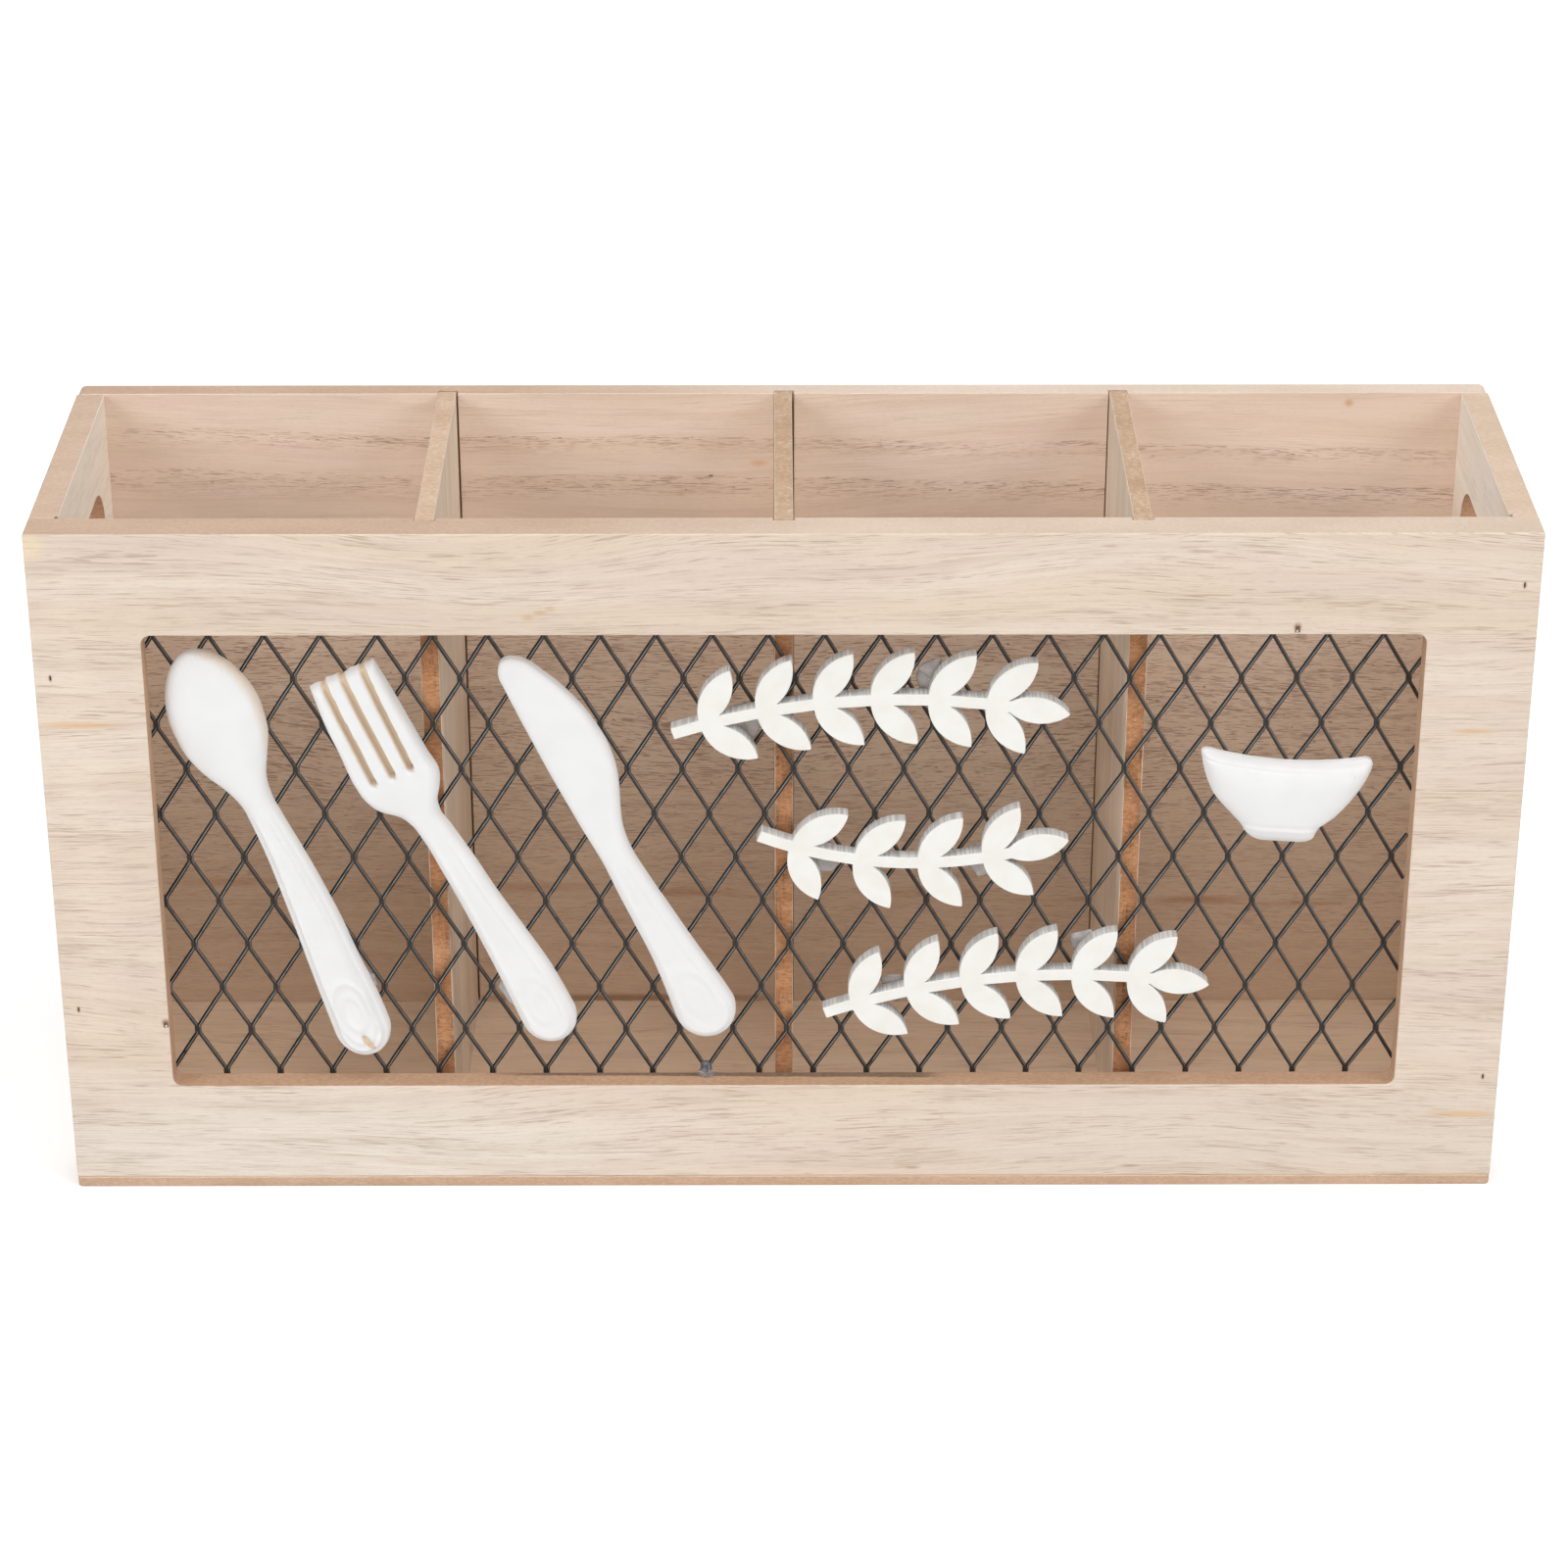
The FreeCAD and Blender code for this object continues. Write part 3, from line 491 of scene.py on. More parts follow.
outside = ((x - high_x).math("MAXIMUM", low_x - x)).math("MAXIMUM", (z - high_z).math("MAXIMUM", low_z - z))
both = both.node("GeometryNodeDeleteGeometry", {}, {"Geometry": both, "Selection": outside.math("GREATER_THAN", 0.0)})
path = both.node("GeometryNodeMeshToCurve", {}, {"Mesh": both})
section = start.node("GeometryNodeCurvePrimitiveCircle", {}, {"Resolution": 12, "Radius": given["Strand Radius"]})
# The front facet of the section is marked for a painted highlight.
forward = position.parts()[0] / given["Strand Radius"]
section = section.node("GeometryNodeStoreNamedAttribute", {"data_type": "FLOAT", "domain": "POINT"},
                       {"Geometry": section, "Name": "ridge", "Value": forward.math("GREATER_THAN", 0.95)})
section = section.node("GeometryNodeTransform", {}, {"Geometry": section, "Scale": given["Strand Form"]})
path = path.node("GeometryNodeSetCurveNormal", {"mode": "FREE"}, {"Curve": path, "Normal": (0, -1, 0)})
heading = start.node("GeometryNodeInputTangent", {}, {}).parts()[0]
falling = heading.ramp(0.4, -0.02)
path = path.node("GeometryNodeSetCurveTilt", {}, {"Curve": path, "Tilt": falling * given["Strand Twist"]})
# Falling strands are marked for a lighter painted tone.
path = path.node("GeometryNodeStoreNamedAttribute", {"data_type": "FLOAT", "domain": "POINT"},
                 {"Geometry": path, "Name": "falling", "Value": falling})
strands = path.node("GeometryNodeCurveToMesh", {}, {"Curve": path, "Profile Curve": section, "Fill Caps": True})
end_tree(strands, given["Finish"])

STRAND_RADIUS = 0.56 * MM
STRAND_FORM = (0.7, 1.0, 1.0)
STRAND_Y = mesh_low.y + STRAND_RADIUS
# Dark paint with patchy tone. A highlight is painted along each strand's front facet, weaker on the falling strands,
# and the falling strands are painted a lighter brown grey. Both stand in for how light falls on the strands.
dark_paint, at = new_finish("dark_paint")
wear_and_highlight = at.noise((2.5 * MM, 2.5 * MM, 2.5 * MM), 1.0, 3.0)
grit = at.noise((0.4 * MM, 0.4 * MM, 0.4 * MM), 2.0, 2.0)
highlight_ridge = at.node("ShaderNodeAttribute", {"attribute_name": "ridge"}, {}, "Fac")
falling_painted_light = at.node("ShaderNodeAttribute", {"attribute_name": "falling"}, {}, "Fac")
black = wear_and_highlight.ramp(0.35, 0.7).mixed(paint(14, 12, 11), paint(32, 28, 26))
colour = (falling_painted_light * 0.7).mixed(black, paint(58, 49, 43))
bright = highlight_ridge.ramp(0.45, 0.9) * (1 - falling_painted_light * 0.3) * wear_and_highlight.ramp(0.2, 0.5)
colour = bright.mixed(colour, paint(158, 156, 153))
lay_finish(at, colour, 0.4 + wear_and_highlight * 0.2, grit, 0.05 * MM, {"Specular IOR Level": 0.3})
net = new_piece("diamond_mesh", bpy.data.meshes.new("diamond_mesh"))
grow(net, mesh_tree, {
    "Rows": 12, "Columns": 27, "Pitch Across": 13.5 * MM, "Pitch Up": 24.4 * MM, "Lean": 0.25 * MM,
    "Bond Length": 2.2 * MM, "Strand Radius": STRAND_RADIUS, "Strand Spread": 0.34 * MM, "Waver": 0.8 * MM,
    "Strand Form": STRAND_FORM, "Strand Twist": math.radians(50),
    "First Bond": (-6.2 * MM - 13 * 13.5 * MM, STRAND_Y, 30 * MM),
    "Low Corner": (-155.6 * MM, 0, mesh_low.z), "High Corner": (154.8 * MM, 0, mesh_high.z),
    "Finish": dark_paint})
install(net, "dark_steel", "wire_mesh")


# Mesh staples: bright wire staples shot through the mesh's edge into the floor of the rebate. Two legs
# came out through the front, just beside the window.


def wire_run(points, radius, sides=8):
    """A round wire along a list of points, as a closed mesh."""
    curve = bpy.data.curves.new("wire", "CURVE")
    curve.dimensions = "3D"
    curve.bevel_depth = radius
    curve.bevel_resolution = (sides - 4) // 2
    curve.use_fill_caps = True
    spline = curve.splines.new("POLY")
    spline.points.add(len(points) - 1)
    for spot, point in zip(spline.points, points):
        spot.co = (*point, 1)
    run = new_piece("wire", curve)
    graph = bpy.context.evaluated_depsgraph_get()
    mesh = bpy.data.meshes.new_from_object(run.evaluated_get(graph), depsgraph=graph)
    bpy.data.objects.remove(run)
    return mesh


pin_tree, given = new_tree("driven_pins", {
    "Geometry": "Geometry", "Pin": "Object", "Finish": "Material"})
pin = given["Pin"].node("GeometryNodeObjectInfo", {}, {"Object": given["Pin"]}, "Geometry")
turn = pin.node("GeometryNodeInputNamedAttribute", {"data_type": "FLOAT_VECTOR"}, {"Name": "turn"})
pins = pin.node("GeometryNodeInstanceOnPoints", {}, {
    "Points": given["Geometry"], "Instance": pin, "Rotation": turn})
end_tree(pins, given["Finish"])


def drive_pins(name, pin_mesh, places, finish):
    """A piece of like pins, each at its place and turned to its own angles."""
    seats = bpy.data.meshes.new(name)
    seats.from_pydata([place for place, turn in places], [], [])
    turns = seats.attributes.new("turn", "FLOAT_VECTOR", "POINT")
    turns.data.foreach_set("vector", [angle for place, turn in places for angle in turn])
    piece = new_piece(name, seats)
    pattern = new_piece(name + "_pattern", pin_mesh)
    grow(piece, pin_tree, {"Pin": pattern, "Finish": finish})
    bpy.data.objects.remove(pattern)
    return piece


STAPLE_INSET = 1.0 * MM
LOW_INSET = 1.9 * MM
CROWN = 9.8 * MM
WIRE = 0.33 * MM
LEG_END = 4.4 * MM
BEND = 0.5 * MM
crown_y = mesh_high.y - mesh_low.y + 0.35 * MM
half = CROWN / 2
staple = wire_run([(-half, -LEG_END, 0), (-half, crown_y - BEND, 0), (BEND - half, crown_y, 0),
                   (half - BEND, crown_y, 0), (half, crown_y - BEND, 0), (half, -LEG_END, 0)], WIRE)
seats = []
for x in (-111.7, -44.2, 36.8, 117.8):
    seats.append(((x * MM, mesh_low.y, window_high.z + STAPLE_INSET), (0, 0, 0)))
for x in (-114.2, -33.2, 34.3, 115.3):
    seats.append(((x * MM, mesh_low.y, window_low.z - LOW_INSET), (0, 0, 0)))
upright = (0, math.radians(90), 0)
for z in (51.9, 127.6):
    seats.append(((window_low.x - STAPLE_INSET, mesh_low.y, z * MM), upright))
for z in (48.3, 133.7):
    seats.append(((window_high.x + STAPLE_INSET, mesh_low.y, z * MM), upright))

bright_wire, at = new_finish("bright_wire")
scuffs = at.noise((0.5 * MM, 2 * MM, 0.5 * MM), 1.0, 3.0)
colour = scuffs.ramp(0.35, 0.7).mixed(paint(150, 148, 146), paint(188, 187, 186))
lay_finish(at, colour, 0.3 + scuffs * 0.3, scuffs, 0.03 * MM, {"Metallic": 0.9})
staples = drive_pins("mesh_staples_set", staple, seats, bright_wire)
whole = bmesh.new()
whole.from_mesh(staples.data)
for x, z in TIPS:
    tip = wire_run([(x, mesh_low.y - LEG_END, z), (x, front_low.y + 0.35 * MM, z)], WIRE)
    whole.from_mesh(tip)
whole.to_mesh(staples.data)
whole.free()
install(staples, "steel_wire", "mesh_staples")


# Ornament glue: clear hot-melt glue that was pressed through the mesh behind each ornament and set in
# flat, uneven dabs. The sill glue is one bead of it in the corner between mesh and sill.

clear_glue, at = new_finish("clear_glue")
haze = at.noise((2.5 * MM, 2.5 * MM, 2.5 * MM), 1.0, 3.0)
colour = haze.ramp(0.3, 0.7).mixed(paint(206, 203, 202), paint(236, 234, 234))
lay_finish(at, colour, 0.1 + haze * 0.14, haze, 0.15 * MM, {"Transmission Weight": 0.55, "IOR": 1.45})
smoky_glue, at = new_finish("smoky_glue")
haze = at.noise((1.2 * MM, 1.2 * MM, 1.2 * MM), 2.0, 3.0)
rising = at.parts()[2].ramp(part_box("sill_glue")[0].z + 0.5 * MM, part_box("sill_glue")[0].z + 1.2 * MM)
foot_colour = haze.ramp(0.3, 0.7).mixed(paint(222, 196, 184), paint(246, 232, 226))
stalk_colour = haze.ramp(0.35, 0.65).mixed(paint(128, 130, 140), paint(226, 226, 232))
colour = rising.mixed(foot_colour, stalk_colour)
lay_finish(at, colour, 0.06 + haze * 0.1, haze, 0.5 * MM, {"Transmission Weight": 0.72, "IOR": 1.4})


def islands(node):
    """Lowest and highest corner of each separate solid of a CAD node."""
    shape = bmesh.new()
    shape.from_mesh(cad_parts[node].data)
    bmesh.ops.remove_doubles(shape, verts=shape.verts, dist=0.001 * MM)
    left = set(shape.verts)
    boxes = []
    while left:
        edge = [left.pop()]
        found = list(edge)
        while edge:
            vert = edge.pop()
            for link in vert.link_edges:
                other = link.other_vert(vert)
                if other in left:
                    left.remove(other)
                    edge.append(other)
                    found.append(other)
        spots = np.array([vert.co for vert in found])
        boxes.append((Vector(spots.min(axis=0)), Vector(spots.max(axis=0))))
    shape.free()
    return boxes


dab_tree, given = new_tree("glue_dabs", {
    "Geometry": "Geometry", "Radius": "Float", "Flatness": "Float", "Unevenness": "Float",
    "Seed": "Int", "Finish": "Material"})
start = given["Radius"]
ball = start.node("GeometryNodeMeshIcoSphere", {}, {"Radius": given["Radius"], "Subdivisions": 4})
thin = start.node("ShaderNodeCombineXYZ", {}, {"X": 1.0, "Y": given["Flatness"], "Z": 1.0})
ball = ball.node("GeometryNodeTransform", {}, {"Geometry": ball, "Scale": thin})
spread = start.node("FunctionNodeRandomValue", {"data_type": "FLOAT"},
                    {2: 0.75, 3: 1.1, "Seed": given["Seed"]}, 1)
sizes = start.node("ShaderNodeCombineXYZ", {}, {"X": spread, "Y": 1.0, "Z": spread})
dabs = ball.node("GeometryNodeInstanceOnPoints", {}, {
    "Points": given["Geometry"], "Instance": ball, "Scale": sizes})
dabs = dabs.node("GeometryNodeRealizeInstances", {}, {"Geometry": dabs})
wander = start.node("ShaderNodeTexNoise", {}, {"Scale": 260.0, "Detail": 1.0}, "Color")
wander = wander.node("ShaderNodeVectorMath", {"operation": "SUBTRACT"}, {0: wander, 1: (0.5, 0.5, 0.5)})
push = wander.node("ShaderNodeVectorMath", {"operation": "MULTIPLY"}, {0: wander, 1: (1.0, 0.12, 1.0)})
push = push.node("ShaderNodeVectorMath", {"operation": "SCALE"}, {0: push, "Scale": given["Unevenness"]})
dabs = dabs.node("GeometryNodeSetPosition", {}, {"Geometry": dabs, "Offset": push})
dabs = dabs.node("GeometryNodeSetShadeSmooth", {}, {"Geometry": dabs})
end_tree(dabs, given["Finish"])

dab_places = bpy.data.meshes.new("glue_dabs")
dab_places.from_pydata([(low + high) / 2 for low, high in islands("ornament_glue")], [], [])
glue = new_piece("glue_dabs", dab_places)
grow(glue, dab_tree, {"Radius": 4.6 * MM, "Flatness": 0.17, "Unevenness": 5 * MM, "Seed": 3, "Finish": clear_glue})
install(glue, "clear_glue", "ornament_glue")

bead_low, bead_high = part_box("sill_glue")
bead_x = (bead_low.x + bead_high.x) / 2
BEAD_PROFILE = ((2.7, 0), (2.65, 0.2), (2.3, 0.45), (1.7, 0.75), (1.45, 1.3), (1.4, 2.1), (1.15, 2.9), (0.6, 3.4))
BEAD_STEPS = 28
BEHIND = 0.35
bead_shape = bmesh.new()
rings = []
for radius, height in BEAD_PROFILE:
    ring = []
    for step in range(BEAD_STEPS):
        turn = 2 * math.pi * step / BEAD_STEPS
        depth = radius * math.sin(turn)
        if depth > 0:
            depth = depth * BEHIND
        spot = Vector((bead_x, bead_high.y, bead_low.z))
        spot += Vector((radius * math.cos(turn), depth, height)) * MM
        ring.append(bead_shape.verts.new(spot))
    rings.append(ring)
bead_shape.faces.new(rings[0])
bead_shape.faces.new(rings[-1])
for lower, upper in zip(rings, rings[1:]):
    for step in range(BEAD_STEPS):
        bead_shape.faces.new((lower[step - 1], lower[step], upper[step], upper[step - 1]))
bmesh.ops.recalc_face_normals(bead_shape, faces=bead_shape.faces)
for face in bead_shape.faces:
    face.smooth = len(face.verts) == 4
bead_mesh = bpy.data.meshes.new("sill_bead")
bead_shape.to_mesh(bead_mesh)
bead_shape.free()
bead_mesh.materials.append(smoky_glue)
bead = new_piece("sill_bead", bead_mesh)
install(bead, "clear_glue", "sill_glue")


# Reliefs: a spoon, a fork, a knife and a bowl cast in white resin, flat behind, with softly rounded
# fronts. They are glued to the front of the mesh.


def smooth_through(knots, values, places):
    """Values at these places, on a smooth curve through the knots."""
    knots = np.array(knots, float)
    values = np.array(values, float)
    slopes = np.gradient(values, knots)
    index = np.clip(np.searchsorted(knots, places) - 1, 0, len(knots) - 2)
    span = knots[index + 1] - knots[index]
    share = np.clip((places - knots[index]) / span, 0, 1)
    rise = share * share * (3 - 2 * share)
    lead = share * (1 - share) ** 2 * span * slopes[index]
    trail = share * share * (1 - share) * span * slopes[index + 1]
    return values[index] * (1 - rise) + values[index + 1] * rise + lead - trail


def swell(value, start, end):
    """0 at start and 1 at end, with a soft rise between them."""
    share = np.clip((value - start) / (end - start), 0, 1)
    return share * share * (3 - 2 * share)


def ridge(value, width):
    """1 where the value is 0, and less on both sides of it."""
    return np.exp(-(value / width) ** 2)


def edge_distance(across, along, outline):
    """How far each point lies from a closed outline."""
    nearest = np.full(across.shape, 1e9)
    for first, second in zip(outline, np.roll(outline, -1, axis=0)):
        step = second - first
        length = max(float(step @ step), 1e-12)
        share = ((across - first[0]) * step[0] + (along - first[1]) * step[1]) / length
        share = np.clip(share, 0, 1)
        gap = np.hypot(across - first[0] - share * step[0], along - first[1] - share * step[1])
        nearest = np.minimum(nearest, gap)
    return nearest


def level_crown(share):
    """The end of an ornament that is cut straight across."""
    return np.zeros_like(share)


def cast_relief(name, foot, lean, stations, caps, edge, carve, blur, rows=150, columns=49, crown=level_crown, grip=5):
    """A cast ornament, in millimetres from its foot. A station is the way along it, its left and right
    edge, its rise and how far in from the edge it is rounded. Caps are the lengths of its round ends, blur
    is how often its form is smoothed before it is carved, and the crown is how far its upper end is cut
    down, from -1 at its left edge to 1 at its right one."""
    along_knots, left, right, rise, roll = np.array(stations, float).T
    length = along_knots[-1]
    low_cap, high_cap = caps
    quarter = np.linspace(0, math.pi / 2, 26)
    along = np.concatenate((low_cap * (1 - np.cos(quarter)), np.linspace(low_cap, length - high_cap, rows)[1:-1],
                            length - high_cap * (1 - np.sin(quarter))))
    along = np.unique(along.round(5))
    start_share = np.clip((low_cap - along) / max(low_cap, 1e-6), 0, 1)
    end_share = np.clip((along - length + high_cap) / max(high_cap, 1e-6), 0, 1)
    shrink = np.sqrt(np.clip(1 - start_share ** 2, 0, 1)) * np.sqrt(np.clip(1 - end_share ** 2, 0, 1))
    left_edge = smooth_through(along_knots, left, along)
    right_edge = smooth_through(along_knots, right, along)
    middle = (left_edge + right_edge) / 2
    half = (right_edge - left_edge) / 2 * shrink
    share = np.sin(np.linspace(-math.pi / 2, math.pi / 2, columns)) * 0.6 + np.linspace(-1, 1, columns) * 0.4
    u = middle[:, None] + half[:, None] * share[None, :]
    v = along[:, None] - crown(share)[None, :] * (along[:, None] / length) ** grip
    outline = np.concatenate((np.stack((u[:, 0], v[:, 0]), 1), np.stack((u[-1], v[-1]), 1),
                              np.stack((u[::-1, -1], v[::-1, -1]), 1), np.stack((u[0, ::-1], v[0, ::-1]), 1)))
    inside = edge_distance(u, v, outline)
    full = smooth_through(along_knots, rise, along)[:, None]
    rolled = np.clip(inside / smooth_through(along_knots, roll, along)[:, None], 0, 1)
    height = edge + (full - edge) * np.sqrt(1 - (1 - rolled) ** 2)
    for step in range(blur):
        beside = height[1:-1, :-2] + height[1:-1, 2:] + height[:-2, 1:-1] + height[2:, 1:-1]
        height[1:-1, 1:-1] = (height[1:-1, 1:-1] * 2 + beside) / 6
    height, stain_and_shade = carve(u, v, inside, height)
    turn = math.radians(lean)
    x = (foot[0] + u * math.cos(turn) - v * math.sin(turn)) * MM
    z = (foot[1] + u * math.sin(turn) + v * math.cos(turn)) * MM
    shape = bmesh.new()
    stains = shape.verts.layers.float.new("stain_and_shade")
    sheets = []
    for depth in (height * MM, np.zeros_like(height)):
        sheet = []
        for i in range(u.shape[0]):
            line = []
            for j in range(columns):
                vert = shape.verts.new((x[i, j], mesh_low.y - depth[i, j], z[i, j]))
                vert[stains] = stain_and_shade[i, j]
                line.append(vert)
            sheet.append(line)
        sheets.append(sheet)
    front_sheet, back_sheet = sheets
    last = u.shape[0] - 1
    for i in range(last):
        for j in range(columns - 1):
            for sheet in sheets:
                shape.faces.new((sheet[i][j], sheet[i][j + 1], sheet[i + 1][j + 1], sheet[i + 1][j]))
        for j in (0, columns - 1):
            shape.faces.new((front_sheet[i][j], front_sheet[i + 1][j], back_sheet[i + 1][j], back_sheet[i][j]))
    for i in (0, last):
        for j in range(columns - 1):
            shape.faces.new((front_sheet[i][j], front_sheet[i][j + 1], back_sheet[i][j + 1], back_sheet[i][j]))
    bmesh.ops.remove_doubles(shape, verts=shape.verts, dist=0.002 * MM)
    bmesh.ops.recalc_face_normals(shape, faces=shape.faces)
    mesh = bpy.data.meshes.new(name)
    shape.to_mesh(mesh)
    shape.free()
    mesh.shade_smooth()
    mesh.set_sharp_from_angle(angle=math.radians(50))
    return new_piece(name, mesh)


white_resin, at = new_finish("white_resin")
stain_and_shade = at.node("ShaderNodeAttribute", {"attribute_name": "stain_and_shade"}, {}, "Fac")
dust = at.noise((9 * MM, 9 * MM, 9 * MM), 1.0, 3.0)
pits = at.noise((0.7 * MM, 0.7 * MM, 0.7 * MM), 2.0, 3.0)
colour = dust.ramp(0.35, 0.7).mixed(paint(240, 240, 240), paint(237, 237, 236))
colour = (pits.ramp(0.76, 0.82) * 0.25).mixed(colour, paint(196, 190, 182))
# The stain channel tints the chip, scratches and fork grooves tan, and also carries painted shade on the spoon's right
# flank.
colour = (stain_and_shade + (pits - 0.5) * 0.3).ramp(0.1, 0.9).mixed(colour, paint(226, 204, 176))
lay_finish(at, colour, 0.42 + pits * 0.16, pits * 0.4 + dust * 0.6, 0.06 * MM, {})


def carve_spoon(u, v, inside, height):
    """A raised border down the handle, loops near its end, and a slanting chip, with a painted warm shade and reflected
    wood colour down the right flank of the bowl.
    """
    handle = swell(v, 74, 66)
    border = ridge(inside - 2.3, 0.5) * 0.5 - ridge(inside - 1.2, 0.4) * 0.35
    loop = np.hypot((u - 2.2) / 4.4, (v - 13.5) / 9.0)
    loops = ridge(loop - 1.0, 0.1) * 0.45 + ridge(loop - 0.55, 0.11) * 0.4
    rays = 0.22 * np.cos(9 * np.arctan2(u - 2.2, v - 12)) * swell(v, 9, 5)
    turn = math.radians(-18)
    chip_u = (u - 2.75) * math.cos(turn) - (v - 4.1) * math.sin(turn)
    chip_v = (u - 2.75) * math.sin(turn) + (v - 4.1) * math.cos(turn)
    chip = swell(np.hypot(chip_u / 0.95, chip_v / 2.7), 1.1, 0.85)
    height = height + handle * (border + loops * swell(inside, 1.5, 2.6)) + rays * swell(inside, 1, 2.4)
    crown = swell(v, 104, 116) * swell(inside, 4, 0.5)
    height = height + crown * 0.25 * np.sin(u * 3.1 + v) * np.sin(u * 1.7 - v * 1.3)
    # Painted shade and reflected wood colour: a warm tint down the bowl's right flank, near its edge.
    painted_flank_shade = swell(u - 0.25 * (118 - v), -6, 4) * swell(v, 80, 92) * swell(inside, 3.4, 0.3)
    return height - chip * 0.5, np.maximum(chip, 0.55 * painted_flank_shade)


spoon = cast_relief("spoon_cast", (-105.7, 35.7), 17.9, [
    (0, -4.9, 9.2, 3.6, 2.6), (8.2, -4.9, 9.2, 4.0, 2.8), (16.7, -4.7, 9.1, 4.0, 2.8), (28, -4.3, 8.3, 4.0, 2.6),
    (40, -3.8, 7.8, 4.0, 2.6), (50, -3.5, 6.9, 4.0, 2.6), (60, -3.3, 5.7, 4.0, 2.6), (70, -3.6, 4.3, 4.2, 3.0),
    (76, -4.2, 3.7, 4.4, 3.6), (81, -6.3, 4.3, 4.6, 4.6), (86.3, -9.6, 6.5, 4.7, 6.5), (92.7, -12.1, 9.2, 4.8, 8.4),
    (98.4, -12.7, 10.0, 4.8, 9.0), (118.4, -12.7, 10.0, 4.2, 8.0)], (8.2, 20.0), 1.4, carve_spoon, 20)


def carve_fork(u, v, inside, height):
    """Three grooves between the tines, with a soft left wall and a crisp right one."""
    stain_and_shade = np.zeros_like(u)
    uneven = 0.18 * np.sin(v * 1.1) + 0.12 * np.sin(v * 2.7 + 1)
    height = height + 0.25 * ridge(inside - 2.0, 0.6) * swell(v, 66, 58)
    loop = np.hypot((u - 3.2) / 4.6, (v - 12) / 9.0)
    height = height + (ridge(loop - 1.0, 0.14) * 0.2 + ridge(loop - 0.55, 0.14) * 0.16) * swell(inside, 1.5, 3)
    for top, foot in ((-5.1, -5.9), (-0.2, -0.8), (5.3, 4.1)):
        middle = foot + (top - foot) * (v - 84.2) / 29.8
        aside = u - middle
        below = np.clip(85.2 - v, 0, None)
        gap = np.hypot(aside, below)
        soft = swell(gap, 1.6, 0.3)
        crisp = swell(gap + 0.1 * uneven, 1.02, 0.8)
        groove = np.where(aside < 0, soft, crisp)
        height = height * (1 - groove) + np.minimum(height, 2.0) * groove
        stain_and_shade = np.maximum(stain_and_shade, groove)
    bubble = ridge(np.hypot(u - 8.8, v - 26.3), 0.5)
    return height + bubble * 0.35, stain_and_shade


def tine_ends(share):
    """Uneven ends of the tines, with a notch at each groove."""
    notches = ridge(share + 0.57, 0.05) + ridge(share + 0.0, 0.05) + ridge(share - 0.63, 0.05)
    return 0.5 * notches + 0.14 * np.sin(share * 7 + 1) + 0.12 * np.sin(share * 17) + 0.3


fork = cast_relief("fork_cast", (-59.0, 39.0), 24.8, [
    (0, -3.5, 10.3, 3.6, 2.6), (8.3, -3.5, 10.3, 4.0, 2.8), (20, -2.9, 10.1, 4.0, 2.8), (32, -2.5, 8.8, 4.0, 2.6),
    (45, -2.3, 7.2, 4.0, 2.5), (56, -2.4, 6.3, 4.0, 2.4), (65.5, -2.7, 5.2, 4.0, 2.4), (70.5, -3.5, 4.6, 4.2, 2.6),
    (73.4, -5.0, 5.4, 4.3, 2.8), (76.3, -8.3, 7.4, 4.4, 3.0), (80.3, -10.4, 9.3, 4.5, 2.6), (85.8, -11.0, 9.1, 4.5, 2.0),
    (94.6, -10.4, 8.9, 4.4, 1.6), (104, -9.9, 8.8, 4.3, 1.6), (114, -8.8, 8.4, 3.2, 2.4)],
    (7.6, 0), 1.1, carve_fork, 2, rows=170, columns=97, crown=tine_ends, grip=24)


def carve_knife(u, v, inside, height):
    """A scallop at the handle's end and a slight ridge where the blade begins."""
    handle = swell(v, 58, 50)
    loop = np.hypot((u - 2.6) / 4.8, (v - 12) / 9.0)
    loops = ridge(loop - 1.0, 0.14) * 0.18 + ridge(loop - 0.5, 0.15) * 0.14
    border = 0.22 * ridge(inside - 2.0, 0.6)
    return height + handle * (border + loops * swell(inside, 1.5, 3)), np.zeros_like(u)


knife = cast_relief("knife_cast", (-18.8, 40.9), 25.8, [
    (-0.5, -4.8, 10.4, 3.6, 2.6), (8, -4.8, 10.4, 4.0, 2.8), (17, -3.7, 9.6, 4.0, 2.8), (28, -2.6, 8.4, 4.0, 2.6),
    (38, -2.3, 7.5, 4.0, 2.5), (48, -2.0, 6.6, 4.0, 2.4), (56.5, -1.6, 6.3, 4.0, 2.4), (62.6, -1.8, 7.2, 3.9, 2.4),
    (68, -2.0, 9.2, 3.9, 2.4), (73.2, -2.1, 11.5, 3.8, 2.4), (79, -2.2, 13.3, 3.8, 2.4), (85, -2.2, 14.1, 3.7, 2.4),
    (91, -2.1, 13.8, 3.7, 2.4), (97.2, -2.0, 12.8, 3.6, 2.4), (104, -1.8, 10.7, 3.4, 2.2), (110.2, -1.6, 8.0, 3.2, 2.0),
    (115.8, -1.4, 5.6, 3.0, 1.8)], (8.2, 4.6), 1.7, carve_knife, 6)


def bowl_rim(share):
    """The bowl's rim, which hangs between its two tips."""
    return 2.2 * (1 - share ** 2)


